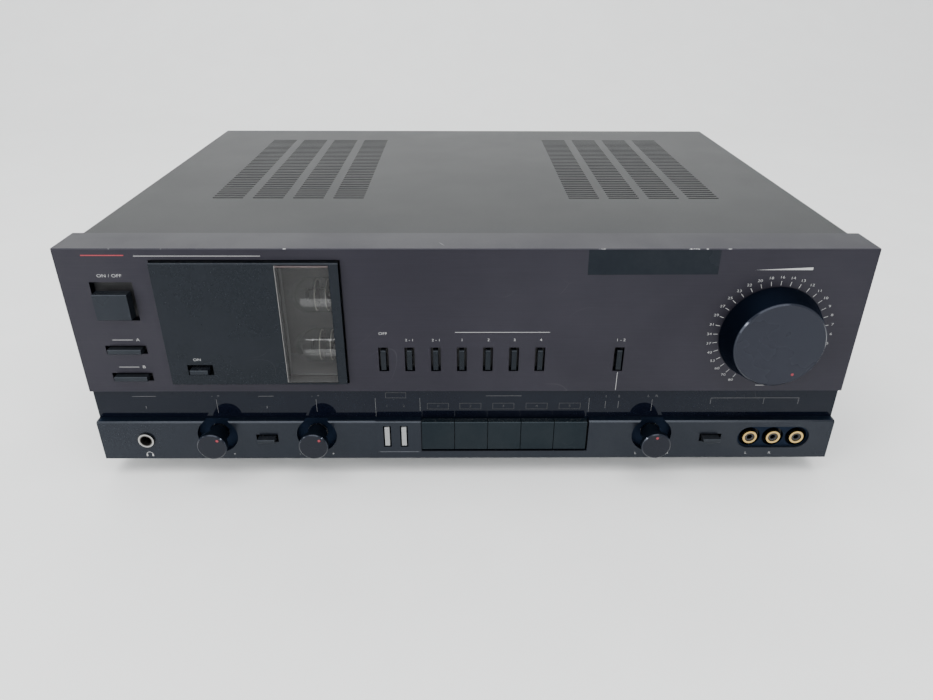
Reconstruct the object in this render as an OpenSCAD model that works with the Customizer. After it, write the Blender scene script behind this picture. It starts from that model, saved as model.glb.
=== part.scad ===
// Stereo integrated amplifier with two tubes behind a smoked window.
// A steel case with a two-level front of push buttons, keys and rotary knobs, and its inner works.
// The front faces -Y, up is +Z, and the feet stand on Z = 0 with the whole set centred on X and Y.

/* [Case] */
// Width of the front panels
front_w = 438; // [425:1:455]
// Depth from the upper panel's front to the rear panel's back
case_d = 314; // [300:1:340]
// Height of the upper panel
fascia_h = 87.4; // [85:0.1:95]
// Thickness of the upper panel
fascia_t = 5; // [4.6:0.1:6]
// Depth of the front frame's top lip and side returns
lip_d = 25.4; // [20:0.2:30]
// Thickness of the top lip and side returns
lip_t = 2.2; // [2:0.1:3]
// Height of the glossy strip between the panels
strip_h = 19.6; // [18:0.1:24]
// Setback of the strip behind the upper panel
strip_back = 3.1; // [2:0.1:3.4]
// Height of the lower panel
lower_h = 26.4; // [25.6:0.1:30]
// How far the lower panel stands in front of the upper one
lower_proud = 2.3; // [1:0.1:4]
// Wall of the lower panel's moulding
lower_t = 2.5; // [2:0.1:3]
// Bevel along the panels' front edges
edge_bevel = 0.8; // [0.3:0.1:1.2]
// Gap between the front's side returns and the cover's sides
cover_gap = 0.5; // [0.3:0.1:1]
// Sheet thickness of the cover
cover_t = 1.2; // [0.8:0.1:1.6]
// Outer radius of the cover's folds
fold_r = 2.5; // [2:0.1:4]
// Sheet thickness of the chassis, subpanel and rear panel
sheet_t = 1.2; // [1:0.1:1.6]
// Height of the chassis pan's side flanges
flange_h = 18; // [15:0.5:24]
// Gap between pieces that sit in each other's openings
fit = 0.3; // [0.2:0.05:0.4]

/* [Vents] */
// Slotted columns in each of the cover's two groups
vent_columns = 4; // [2:1:5]
// Length of a slit across the column
vent_slit_w = 19.8; // [14:0.2:22]
// Pitch of the columns
vent_column_pitch = 25.9; // [24:0.1:28]
// Distance from the cover's side to a group's outermost slits
vent_side = 52.6; // [46:0.1:60]
// Front end of the slits, behind the upper panel's front
vent_y0 = 97; // [80:1:120]
// Length of a column of slits
vent_len = 178; // [120:1:180]
// Pitch of the slits
vent_pitch = 4.6; // [4.2:0.1:6]
// Width of a slit
vent_slit = 1.8; // [1.5:0.1:3]
// Length of a slot in the pan
floor_slot_len = 28; // [20:1:36]
// Slots in each group in the bottom of the pan
floor_slots = 9; // [4:1:12]
// Width of a slot in the pan
floor_slot = 4; // [3:0.5:5]

/* [Feet] */
// Height of the feet
foot_h = 12; // [9:0.5:16]
// Radius of a foot at its top
foot_r = 22; // [16:0.5:26]
// Distance of the feet from the front's ends
foot_in = 54; // [40:1:70]
// Distance of the feet from the case's front and rear
foot_inset = 48; // [40:1:70]
// Radius of the case screws
screw_r = 2; // [1.5:0.1:2.2]
// Radius of their heads
screw_head_r = 3.8; // [3:0.1:4.2]
// Thickness of their heads
screw_head_t = 2.2; // [1.6:0.1:2.6]
// Length of their shanks
screw_len = 8; // [6:0.5:10]
// Thickness of a foot above its screw's head
foot_seat = 4; // [3:0.5:5]
// Distance of the cover's front screws from the upper panel's front
side_screw_front = 85; // [60:1:110]
// Distance of the cover's rear screws from the rear panel
side_screw_rear = 60; // [40:1:90]
// Depth of the flanges that the cover lies on
seat_flange = 14; // [10:0.5:18]

/* [Power and speaker buttons] */
// Distance of these buttons' middle from the front's left edge
power_in = 27.2; // [26:0.1:30]
// Drop of the power button's opening below the upper panel's top
power_drop = 19; // [16:0.1:22]
// Width of the power button's opening
power_w = 23; // [20:0.1:24]
// Height of the power button's opening
power_h = 22.8; // [20:0.1:24]
// How far the power button stands proud
power_proud = 5; // [3:0.1:6]
// Room above the power button in its opening
power_head = 5.4; // [3:0.1:6]
// Room at the power button's other three sides
power_gap = 2.2; // [1:0.1:3]
// Travel of the power button
power_travel = 3.6; // [2.5:0.1:4]
// Height of the lower speaker button's middle above the upper panel's bottom
speaker_rise = 9.9; // [8:0.1:11]
// Distance between the two speaker buttons
speaker_pitch = 17.5; // [14:0.1:19]
// Height of a speaker button's opening
speaker_h = 5.2; // [4.6:0.1:6]
// How far the speaker buttons stand proud
speaker_proud = 3.4; // [1:0.1:5]
// Room above and below a speaker button
speaker_gap = 1.1; // [0.6:0.1:1.4]

/* [Smoked panel and tubes] */
// Distance of the smoked panel's opening from the front's left edge
smoked_in = 49.6; // [46:0.1:52]
// Width of the smoked panel's opening
smoked_w = 101.4; // [96:0.1:104]
// Margin of the opening above
smoked_above = 6.4; // [4:0.1:8]
// Margin of the opening below
smoked_below = 5.4; // [4:0.1:8]
// Gap round the smoked panel
smoked_gap = 0.8; // [0.4:0.1:1]
// How far the smoked panel stands proud
smoked_proud = 3; // [1:0.1:4]
// Width of the clear window
window_w = 29; // [24:0.5:32]
// Smoked frame at the window's right
window_side = 5.1; // [2:0.1:7]
// Smoked frame above and below the window
window_rim = 1.1; // [0.8:0.1:2]
// Distance of the pre-heat button from the smoked panel opening's left edge
preheat_in = 18.2; // [14:0.1:24]
// Height of the pre-heat button above the upper panel's bottom
preheat_rise = 15.9; // [13:0.1:20]
// Width of the pre-heat button's opening
preheat_w = 14.4; // [12:0.1:18]
// Height of the pre-heat button's opening
preheat_h = 6.6; // [5:0.1:8]
// Room above and below the pre-heat button
preheat_gap = 1.9; // [1:0.1:2.2]
// How far the pre-heat button stands in front of the smoked panel
preheat_proud = 3.4; // [1:0.1:4]
// Radius of a tube's glass
tube_r = 10.5; // [9:0.1:11]
// Length of a tube's glass
tube_len = 44.5; // [40:0.5:46]
// Distance of the tubes' sockets to the right of the window
socket_out = 15.8; // [14:0.1:16]
// Distance between the tubes
tube_pitch = 32; // [29:0.5:34]
// Wall of the glass
glass_t = 0.9; // [0.6:0.1:1.2]
// Drop of the tubes' middle below the window's middle
tube_drop = 6; // [4:0.5:7]
// Room from the subpanel back to the glass
tube_room = 1.5; // [1:0.1:4]
// Length of a tube's bare tip in front of its electrodes
tube_tip = 16; // [13:0.5:18]

/* [Selector buttons] */
// Buttons in the recording row
rec_count = 7; // [3:1:7]
// Pitch of the recording row
rec_pitch = 14.8; // [13:0.1:15]
// Distance of the first recording button from the smoked panel's opening
rec_in = 20.4; // [19.6:0.1:24]
// Height of the row's middle above the upper panel's bottom
rec_rise = 21; // [18:0.1:26]
// Width of a selector button's opening
rec_w = 5.6; // [4.8:0.1:7]
// Height of a selector button's opening
rec_h = 15.3; // [12:0.1:18]
// Gap round a selector button
rec_gap = 1.4; // [0.5:0.1:1.5]
// How far a selector button stands proud
rec_proud = 1.5; // [1:0.1:4]
// Place of the cartridge button to the right of the panel's middle
cartridge_x = 86.1; // [70:0.1:100]

/* [Volume control] */
// Distance of the volume knob's axis from the front's right edge
volume_in = 49.3; // [46:0.1:60]
// Height of the axis above the upper panel's bottom
volume_rise = 37; // [34:0.1:46]
// Radius of the volume knob at its foot
volume_r = 28.8; // [20:0.1:29]
// Draft from the foot to the face
volume_draft = 3.6; // [0:0.1:5]
// How far the volume knob stands proud
volume_proud = 15; // [14:0.1:24]
// Radius of the control shafts
shaft_r = 3; // [2.5:0.1:3.2]
// Running gap of a shaft in its bush
shaft_run = 0.05; // [0.03:0.01:0.08]
// Wall of a bush round its shaft
bush_t = 1.5; // [1:0.1:1.6]
// Depth of the control parts behind the subpanel
control_d = 14; // [13:0.5:20]

/* [Lower panel controls] */
// Height of the buttons' and jacks' middle above the lower panel's bottom
lower_rise = 14.6; // [13:0.1:15]
// Height of the small knobs' axes above the lower panel's bottom
knob_rise = 16.7; // [14:0.1:18]
// Distance of the bass knob from the front's left edge
bass_in = 70.2; // [66:0.1:72]
// Distance of the treble knob from the front's left edge
treble_in = 129.2; // [125:0.1:132]
// Distance of the balance knob from the front's right edge
balance_in = 108.4; // [100:0.1:112]
// Radius of a small knob's face
knob_r = 8.5; // [7:0.1:9.5]
// Radius of a small knob's stem
knob_stem_r = 5.6; // [5:0.1:6.5]
// How far a small knob stands in front of the lower panel
knob_proud = 12.4; // [8:0.1:14]
// Radius of the round recess at each small knob
dish_r = 11.9; // [10:0.1:12]
// Depth of that recess
dish_d = 4; // [3:0.1:4.4]
// Floor of that recess
dish_floor = 1.4; // [1:0.1:1.8]
// Distance of the tone button from the front's left edge
tone_button_in = 99.5; // [95:0.1:104]
// Distance of the source button from the front's right edge
source_button_in = 72.8; // [68:0.1:80]
// Width of the tone and source buttons' openings
slot_w = 13; // [10:0.1:15]
// Height of the tone and source buttons' openings
slot_h = 5.4; // [4.6:0.1:7]
// Gap round the tone and source buttons
slot_gap = 1.4; // [0.8:0.1:1.6]
// How far the tone and source buttons stand in front of the lower panel
slot_proud = 4.2; // [1:0.1:6]
// Input keys in the row
key_count = 5; // [3:1:5]
// Pitch of the input keys
key_pitch = 19.7; // [16:0.1:20]
// Place of the row's left end to the right of the panel's middle
key_x0 = -27.2; // [-29:0.1:-24]
// Seam between keys
key_seam = 0.4; // [0.3:0.05:0.8]
// How far the keys stand in front of the lower panel
key_proud = 1.2; // [0.5:0.1:3]
// Panel left below the keys
key_sill = 5; // [4:0.1:7]
// Gap below the keys
key_gap = 2; // [1:0.1:3]
// Width of the raised insert round the two video buttons
insert_w = 26.9; // [25:0.1:30]
// Height of the insert's lower edge above the lower panel's bottom
insert_rise = 4.5; // [3:0.1:6]
// How far the insert stands in front of the lower panel
insert_proud = 0.5; // [0.3:0.1:0.8]
// Distance of the first video button from the insert's left edge
video_in = 6.8; // [5:0.1:7.5]
// Distance between the video buttons
video_pitch = 10; // [8:0.1:11]
// Width of a video button
video_w = 2.8; // [2.6:0.1:4]
// Height of a video button
video_h = 13; // [11:0.1:15]
// Height of the video buttons' middle above the lower panel's bottom
video_rise = 16; // [15.4:0.1:16.4]
// Gap round a video button
video_gap = 0.9; // [0.4:0.1:1]
// How far the video buttons stand in front of the lower panel
video_proud = 0.9; // [0.8:0.1:3]
// Travel of the small buttons and keys
travel = 2; // [1.5:0.1:2.2]
// Side of the square stems behind the buttons
stem = 2.4; // [1.8:0.1:2.6]
// Sliding gap round the stems
stem_fit = 0.2; // [0.1:0.05:0.3]
// Reach of a stem into its switch
stem_in = 4; // [3:0.5:5]
// Bevel along the caps' and keys' front edges
cap_bevel = 0.4; // [0.2:0.1:0.6]

/* [Sockets] */
// Distance of the phones socket from the front's left edge
phones_in = 27.2; // [24:0.1:32]
// Height of the phones socket above the lower panel's bottom
phones_rise = 13.6; // [12:0.1:15]
// Bore radius of the phones socket
phones_r = 3.2; // [3.1:0.05:3.3]
// Depth of the phones socket's bore
phones_depth = 28; // [24:0.5:34]
// Wall of the phones socket's bush
phones_t = 1; // [0.8:0.1:1.4]
// Width of the bright rim outside the phones socket's bush
phones_rim = 0.6; // [0.4:0.1:1.2]
// Thickness of the phones socket's bright rim
phones_rim_t = 1.2; // [0.8:0.1:1.6]
// Side of the phones socket's body
phones_side = 16; // [14:0.5:18]
// Distance of the last front jack from the front's right edge
jack_in = 20.6; // [19:0.1:24]
// Pitch of the front jacks
jack_pitch = 14.1; // [13.6:0.1:15]
// Radius of a jack's shell
jack_r = 4.2; // [4.1:0.05:4.3]
// Bore radius of a jack's shell
jack_bore_r = 3; // [2.8:0.1:3.2]
// Depth of a jack's insulator behind its rim
jack_recess = 1.6; // [1:0.1:2.4]
// Radius of a jack's centre contact
contact_r = 1.65; // [1.6:0.05:1.8]
// Width of a jack's flange round its shell
jack_flange = 1.4; // [1:0.1:1.6]
// Thickness of a jack's flange
jack_flange_t = 1.4; // [1:0.1:2]
// Radius of the hole round each front jack
jack_hole_r = 6.4; // [6:0.1:6.7]
// Radius of the shallow well round the front jacks
well_r = 7.5; // [7:0.1:8.2]
// Depth of that well
well_d = 1.2; // [0.6:0.1:1.6]

/* [Rear] */
// How far the speaker posts stand behind the rear panel
post_proud = 13; // [12:0.5:18]
// Radius of a speaker post's cap
post_r = 6; // [5:0.1:7]
// Pitch of the speaker posts
post_pitch = 19; // [16:0.5:22]
// Speaker posts in each of the two rows
post_count = 4; // [2:1:4]
// Distance of the last speaker posts from the front's right edge
post_in = 100; // [90:1:110]
// Rear jacks in each of the two rows
rear_jack_count = 9; // [4:1:9]
// Pitch of the rear jacks along a row
rear_jack_pitch = 18; // [15:0.5:19]
// Distance between the two rows
rear_row_pitch = 20; // [17:0.5:24]
// Height of the lower row above the case's bottom
rear_row_rise = 44; // [34:1:60]
// Distance of the first rear jacks from the front's left edge
rear_jack_in = 52; // [46:1:60]
// How far the rear jacks stand behind the rear panel
rear_jack_proud = 11; // [9:0.5:12]
// Distance of the cord's gland from the front's right edge
gland_side = 44; // [30:1:60]
// Radius of the gland's bore
gland_bore_r = 3.6; // [3:0.1:4]
// Radius of the gland in the rear panel
gland_r = 6.5; // [6:0.1:8]
// Height of the gland above the case's bottom
gland_rise = 24; // [20:1:40]
// How far the gland stands behind the rear panel
gland_out = 10; // [8:0.5:12]

/* [Inner works] */
// Width of the transformer's core
core_w = 92; // [80:1:100]
// Height of the transformer's core
core_h = 76; // [66:1:84]
// Stack of the transformer's core
core_stack = 50; // [40:1:60]
// Limb of the core
core_limb = 15; // [12:0.5:16]
// Overhang of the winding beyond the stack
winding_out = 16; // [12:0.5:20]
// Distance of the transformer's middle from the pan's left side
core_in = 82.8; // [76:0.2:90]
// Place of the transformer behind the upper panel's front
core_y = 180; // [150:1:200]
// Length of the heatsink
sink_len = 160; // [120:1:170]
// Height of the heatsink
sink_h = 82; // [60:1:90]
// Thickness of the heatsink's base
sink_base = 5; // [4:0.5:7]
// Length of the heatsink's fins
sink_fin = 40; // [30:1:60]
// Fins on the heatsink
sink_fins = 17; // [8:1:18]
// Thickness of a fin
sink_fin_t = 2; // [1.5:0.1:2.5]
// Distance of the heatsink's base from the pan's right side
sink_in = 138.8; // [130:0.2:142]
// Room between the transformer and the amplifier board
core_room = 10; // [6:0.5:14]
// Room between the heatsink and the amplifier board
sink_room = 14; // [10:0.5:18]
// Depth of the amplifier board
board_d = 168; // [140:1:170]
// Thickness of the circuit boards
board_t = 1.6; // [1.2:0.1:2]
// Height of the pan's pressed board posts
board_post_h = 8; // [6:0.5:12]
// Radius of a filter capacitor
cap_r = 17.5; // [15:0.5:19]
// Height of a filter capacitor
cap_h = 52; // [40:1:60]
// Side of the volume control's body
volume_pot = 26; // [20:1:30]
// Side of the tone and balance controls' bodies
tone_pot = 17; // [15:0.5:20]
// Largest side of a push switch's body
switch_side = 12; // [10:0.5:14]

/* [Hidden] */
$fn = 48;
EPS = 0.01;
CUT = 1;

rear_proud = max(post_proud, rear_jack_proud);
front_y = volume_proud - (volume_proud + case_d + rear_proud) / 2;
rear_y = front_y + case_d;
panel_y = front_y + fascia_t;
inner_y = panel_y + sheet_t;
strip_y = front_y + strip_back;
lower_y = front_y - lower_proud;
back_y = rear_y - sheet_t;
lip_y = front_y + lip_d;
board_y = inner_y + control_d;

lower_top = foot_h + lower_h;
strip_top = lower_top + strip_h;
case_top = strip_top + fascia_h;
seat_z = case_top - lip_t;
cover_top = seat_z + cover_t;
floor_z = foot_h + sheet_t;

left_x = -front_w / 2;
right_x = front_w / 2;
cover_w = front_w - 2 * (lip_t + cover_gap);
inner_w = cover_w - 2 * cover_t;
pan_w = inner_w - 2 * fit;

power_x = left_x + power_in;
power_top = case_top - power_drop;
power_cap = [power_w - 2 * power_gap, power_h - power_head - power_gap];
power_z = power_top - power_head - power_cap[1] / 2;
speaker_z = [strip_top + speaker_rise + speaker_pitch, strip_top + speaker_rise];

smoked_x0 = left_x + smoked_in;
smoked_x1 = smoked_x0 + smoked_w;
smoked_z0 = strip_top + smoked_below;
smoked_z1 = case_top - smoked_above;
smoked_y = front_y - smoked_proud;
window_x1 = smoked_x1 - smoked_gap - window_side;
window_x0 = window_x1 - window_w;
window_z0 = smoked_z0 + smoked_gap + window_rim;
window_z1 = smoked_z1 - smoked_gap - window_rim;
window_rest = 1.5;
preheat_x = smoked_x0 + preheat_in;
preheat_z = strip_top + preheat_rise;

tube_y = inner_y + tube_room + tube_r;
tube_z = [for (s = [1, -1]) (window_z0 + window_z1) / 2 - tube_drop + s * tube_pitch / 2];
socket_x = window_x1 + socket_out;
tube_tip_x = socket_x - tube_len;
socket_t = 4;
socket_neck = 2;
socket_shoulder = 2;
socket_neck_r = tube_r - socket_shoulder;
dome_share = 0.7;
pip_r = 1.6;
pip_h = 2;
stem_h = 6;
mica_t = 0.6;
plate_w = 6;
plate_t = 4;
plate_apart = 8.4;
can_room = 6;
can_x0 = min(window_x0, tube_tip_x - fit) - can_room;
can_x1 = socket_x + socket_t + sheet_t;
can_y1 = tube_y + tube_r + can_room;
can_z = [window_z0 - sheet_t, window_z1 + sheet_t];

rec_z = strip_top + rec_rise;
rec_xs = [for (i = [0 : rec_count - 1]) smoked_x1 + rec_in + i * rec_pitch];
volume_x = right_x - volume_in;
volume_z = strip_top + volume_rise;
bush_r = shaft_r + shaft_run + bush_t;

lower_z = foot_h + lower_rise;
knob_z = foot_h + knob_rise;
knob_xs = [left_x + bass_in, left_x + treble_in, right_x - balance_in];
tone_x = left_x + tone_button_in;
source_x = right_x - source_button_in;
key_y = lower_y - key_proud;
key_rise = 0.1;
key_end_gap = 1.2;
key_z0 = foot_h + key_sill + key_gap;
key_z1 = lower_top + key_rise;
key_x1 = key_x0 + key_count * key_pitch;
key_back = strip_y - travel - fit;
key_z = (key_z0 + key_z1) / 2;
insert_x1 = key_x0 - key_seam;
insert_x0 = insert_x1 - insert_w;
video_xs = [for (i = [0, 1]) insert_x0 + video_in + i * video_pitch];
video_z = foot_h + video_rise;
phones_x = left_x + phones_in;
phones_z = foot_h + phones_rise;
phones_bush_r = phones_r + phones_t;
jack_xs = [for (i = [0 : 2]) right_x - jack_in - (2 - i) * jack_pitch];

vent_n = floor((vent_len - vent_slit) / vent_pitch) + 1;
foot_x = right_x - foot_in;
foot_ys = [front_y + foot_inset, rear_y - foot_inset];
side_screw_ys = [front_y + side_screw_front, rear_y - side_screw_rear];
side_screw_z = foot_h + flange_h / 2;
screw_fit = 0.1;
screw_hole_r = screw_r + screw_fit;
screw_room = 1;
foot_bore_r = screw_head_r + screw_room;
screw_crown = 0.7;

row_z = [for (i = [0, 1]) foot_h + rear_row_rise + i * rear_row_pitch];
rear_jack_xs = [for (i = [0 : rear_jack_count - 1])
    left_x + rear_jack_in + i * rear_jack_pitch];
post_xs = [for (i = [0 : post_count - 1]) right_x - post_in - i * post_pitch];
ground_x = rear_jack_xs[rear_jack_count - 1] + rear_jack_pitch;
stud_r = 2.5;
stud_in = 7;
contact_floor = -5;
post_flange_t = 1.6;
post_gap = 0.8;
post_bevel = 1;
post_waist = 0.6;
ground_scale = 0.75;
gland_x = right_x - gland_side;
gland_z = foot_h + gland_rise;
gland_rim = 2.5;
gland_in = 6;

core_x = core_in - pan_w / 2;
core_bottom = floor_z;
sink_x = pan_w / 2 - sink_in;
winding_r = 10;
sink_y0 = front_y + vent_y0 + (vent_len - sink_len) / 2;
board_x0 = core_x + core_w / 2 + core_room;
board_w = sink_x - sink_room - board_x0;
board_y0 = sink_y0;
board_z = floor_z + board_post_h;
board_post_r = 3.5;
board_post_in = 6;
transistor = [5, 16, 21];
transistor_count = 4;
cap_apart = 3;
cap_place = 0.7;
cap_lip = 1;
lamp = [4.4, 2];
lamp_rise = 0.45;
lamp_z = lower_top + strip_h * lamp_rise;
lamp_xs = concat([phones_x, tone_x], video_xs,
    [for (i = [0 : key_count - 1]) key_x0 + (i + 0.5) * key_pitch]);
control_board_x = [knob_xs[0] - dish_r, source_x + slot_w];
selector_board_x = [rec_xs[0] - rec_w / 2, cartridge_x + rec_w];
knob_lift = 0.6;
knob_rim = 0.6;
knob_cap_t = 4;
knob_neck_t = 3.4;
volume_rim = 1;
shaft_cover = 4;
knob_shaft_cover = 3;
shaft_end = 3;
bush_back = 1;
switch_wall = 1.6;
dot_r = 0.9;
dot_depth = 0.4;
volume_dot_out = 0.71;
knob_dot_out = 0.68;

// Every push button: name, x, z, cap width, cap height, the plane that it stands on, how proud it is, travel
BUTTONS = concat(
    [["power_button", power_x, power_z, power_cap[0], power_cap[1], front_y, power_proud, power_travel]],
    [for (i = [0, 1]) [["speaker_a_button", "speaker_b_button"][i], power_x, speaker_z[i],
        power_w - 2 * power_gap, speaker_h - 2 * speaker_gap, front_y, speaker_proud, travel]],
    [["preheat_button", preheat_x, preheat_z, preheat_w - 2 * power_gap, preheat_h - 2 * preheat_gap,
        smoked_y, preheat_proud, travel]],
    [for (i = [0 : rec_count - 1]) [str("rec_button_", i + 1), rec_xs[i], rec_z,
        rec_w - 2 * rec_gap, rec_h - 2 * rec_gap, front_y, rec_proud, travel]],
    [["cartridge_button", cartridge_x, rec_z, rec_w - 2 * rec_gap, rec_h - 2 * rec_gap,
        front_y, rec_proud, travel]],
    [["tone_button", tone_x, lower_z, slot_w - 2 * slot_gap, slot_h - 2 * slot_gap,
        lower_y, slot_proud, travel]],
    [for (i = [0, 1]) [str("video_button_", i + 1), video_xs[i], video_z, video_w, video_h,
        lower_y, video_proud, travel]],
    [["source_button", source_x, lower_z, slot_w - 2 * slot_gap, slot_h - 2 * slot_gap,
        lower_y, slot_proud, travel]]);
KEY_NODES = [for (i = [1 : key_count]) str("input_key_", i)];
KNOBS = ["bass", "treble", "balance"];
KNOB_DOT = [40, 40, 0];
VOLUME_DOT = 150;

// Shared shapes

// A box between two opposite corners
module block(low, high) {
    translate(low) cube(high - low);
}

// A box centred on x and z, between two depths
module bar_y(x, z, w, h, y0, y1) {
    block([x - w / 2, y0, z - h / 2], [x + w / 2, y1, z + h / 2]);
}

// A round bar along the depth
module rod_y(x, z, r, y0, y1) {
    translate([x, y0, z]) rotate([-90, 0, 0]) cylinder(h = y1 - y0, r = r);
}

// A profile of depth and height run across the width
module across(x0, x1) {
    translate([x0, 0, 0]) rotate([90, 0, 90]) linear_extrude(x1 - x0) children();
}

// A profile of radius and depth turned about an axis along the depth
module turned_y(x, z, y0, towards_front = true) {
    translate([x, y0, z]) rotate([towards_front ? 90 : -90, 0, 0]) rotate_extrude() children();
}

// A bar whose front edges are bevelled above and below
module bevelled_bar(x0, x1, y0, y1, z0, z1, bevel) {
    across(x0, x1)
        polygon([[y0 + bevel, z0], [y1, z0], [y1, z1], [y0 + bevel, z1],
            [y0, z1 - bevel], [y0, z0 + bevel]]);
}

// One side return of the front frame at each end
module side_returns(y0, z0, z1) {
    for (x = [left_x, right_x - lip_t])
        block([x, y0, z0], [x + lip_t, lip_y, z1]);
}

// Case

module chassis_base() color("dimgray") difference() {
    union() {
        block([-pan_w / 2, inner_y, foot_h], [pan_w / 2, back_y, floor_z]);
        for (x = [-pan_w / 2, pan_w / 2 - sheet_t])
            block([x, inner_y, foot_h], [x + sheet_t, back_y, foot_h + flange_h]);
        for (p = board_posts()) translate([p[0], p[1], foot_h])
            cylinder(h = board_z - foot_h, r = board_post_r);
    }
    for (x = [-foot_x, foot_x], y = foot_ys) translate([x, y, foot_h - EPS])
        cylinder(h = sheet_t + 2 * EPS, r = screw_hole_r);
    for (y = side_screw_ys) translate([-pan_w, y, side_screw_z]) rotate([0, 90, 0])
        cylinder(h = 2 * pan_w, r = screw_hole_r);
    floor_vents(core_x, core_y - core_stack / 2 - winding_out - floor_slot_len / 2);
    floor_vents(foot_x, vent_y0 + vent_len / 2);
}

function board_posts() = [for (x = [board_x0 + board_post_in, board_x0 + board_w - board_post_in],
    y = [board_y0 + board_post_in, board_y0 + board_d - board_post_in]) [x, y]];

// A row of slots through the pan
module floor_vents(x, behind) {
    y0 = front_y + behind - floor_slot_len / 2;
    for (i = [0 : floor_slots - 1])
        translate([x + (2 * i - floor_slots) * floor_slot, y0, foot_h - EPS])
            cube([floor_slot, floor_slot_len, sheet_t + 2 * EPS]);
}

module feet() color("black")
    for (x = [-foot_x, foot_x], y = foot_ys) translate([x, y, 0]) rotate_extrude()
        polygon([[foot_bore_r, 0], [foot_r - foot_seat, 0], [foot_r - foot_seat / 2, foot_seat / 2],
            [foot_r, foot_h], [screw_hole_r, foot_h], [screw_hole_r, foot_h - foot_seat],
            [foot_bore_r, foot_h - foot_seat]]);

// A pan-head screw whose head sits on Z = 0 with its shank down
module case_screw() {
    cylinder(h = screw_head_t, r1 = screw_head_r, r2 = screw_head_r * screw_crown);
    translate([0, 0, -screw_len]) cylinder(h = screw_len, r = screw_r);
}

module case_screws() color("gray") {
    for (x = [-foot_x, foot_x], y = foot_ys)
        translate([x, y, foot_h - foot_seat]) rotate([180, 0, 0]) case_screw();
    for (s = [-1, 1], y = side_screw_ys)
        translate([s * cover_w / 2, y, side_screw_z]) rotate([0, s * 90, 0]) case_screw();
}

module front_subpanel() color([0.13, 0.13, 0.14]) difference() {
    union() {
        block([left_x + lip_t + fit, panel_y, foot_h], [right_x - lip_t - fit, inner_y, seat_z]);
        block([fold_r - pan_w / 2, inner_y - EPS, seat_z - sheet_t],
            [pan_w / 2 - fold_r, lip_y + seat_flange, seat_z]);
    }
    for (b = BUTTONS) subpanel_slot(b[1], b[2], stem, stem);
    for (i = [0 : key_count - 1]) subpanel_slot(key_mid(i), key_z, stem, stem);
    for (x = lamp_xs) subpanel_slot(x, lamp_z, lamp[0], lamp[1]);
    subpanel_hole(volume_x, volume_z, bush_r);
    for (x = knob_xs) subpanel_hole(x, knob_z, bush_r);
    for (x = jack_xs) subpanel_hole(x, lower_z, stud_r);
    subpanel_hole(phones_x, phones_z, phones_bush_r);
    block([window_x0 + window_rest, panel_y - EPS, window_z0 + window_rest],
        [window_x1 - window_rest, inner_y + EPS, window_z1 - window_rest]);
}

// Holes in the subpanel with a sliding gap round what passes through
module subpanel_slot(x, z, w, h) {
    bar_y(x, z, w + 2 * stem_fit, h + 2 * stem_fit, panel_y - EPS, inner_y + EPS);
}

module subpanel_hole(x, z, r) {
    rod_y(x, z, r + stem_fit, panel_y - EPS, inner_y + EPS);
}

module rear_panel() color([0.14, 0.14, 0.15]) difference() {
    union() {
        translate([0, rear_y, 0]) rotate([90, 0, 0]) linear_extrude(sheet_t)
            cover_outline(inner_w - 2 * fit, seat_z, fold_r - cover_t);
        block([fold_r - pan_w / 2, back_y - seat_flange, seat_z - sheet_t],
            [pan_w / 2 - fold_r, back_y + EPS, seat_z]);
    }
    for (x = concat(rear_jack_xs, post_xs), z = row_z) rear_hole(x, z, stud_r);
    rear_hole(ground_x, row_z[0], stud_r);
    rear_hole(gland_x, gland_z, gland_r);
}

// A hole in the rear panel with a gap round what passes through
module rear_hole(x, z, r) {
    rod_y(x, z, r + stem_fit, back_y - EPS, rear_y + EPS);
}

// The folded cover's outline, seen along the depth
module cover_outline(w, top, r) {
    translate([-w / 2, foot_h]) square([w, top - r - foot_h]);
    translate([-w / 2 + r, top - r - EPS]) square([w - 2 * r, r + EPS]);
    for (s = [-1, 1]) translate([s * (w / 2 - r), top - r]) circle(r);
}

module top_cover() color([0.42, 0.42, 0.42]) difference() {
    translate([0, rear_y, 0]) rotate([90, 0, 0]) linear_extrude(rear_y - inner_y) difference() {
        cover_outline(cover_w, cover_top, fold_r);
        translate([0, -EPS]) cover_outline(inner_w, seat_z + EPS, fold_r - cover_t);
    }
    block([left_x, inner_y - EPS, seat_z], [right_x, lip_y + fit, case_top]);
    for (y = side_screw_ys) translate([-cover_w, y, side_screw_z]) rotate([0, 90, 0])
        cylinder(h = 2 * cover_w, r = screw_hole_r);
    vent_slits();
}

// Both groups of slits in the cover's top
module vent_slits() {
    for (side = [-1, 1], column = [0 : vent_columns - 1], i = [0 : vent_n - 1]) {
        x = side * (cover_w / 2 - vent_side - vent_slit_w / 2 - column * vent_column_pitch);
        y = front_y + vent_y0 + i * vent_pitch;
        block([x - vent_slit_w / 2, y, seat_z - CUT], [x + vent_slit_w / 2, y + vent_slit, cover_top + CUT]);
    }
}

// Front panels

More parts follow.
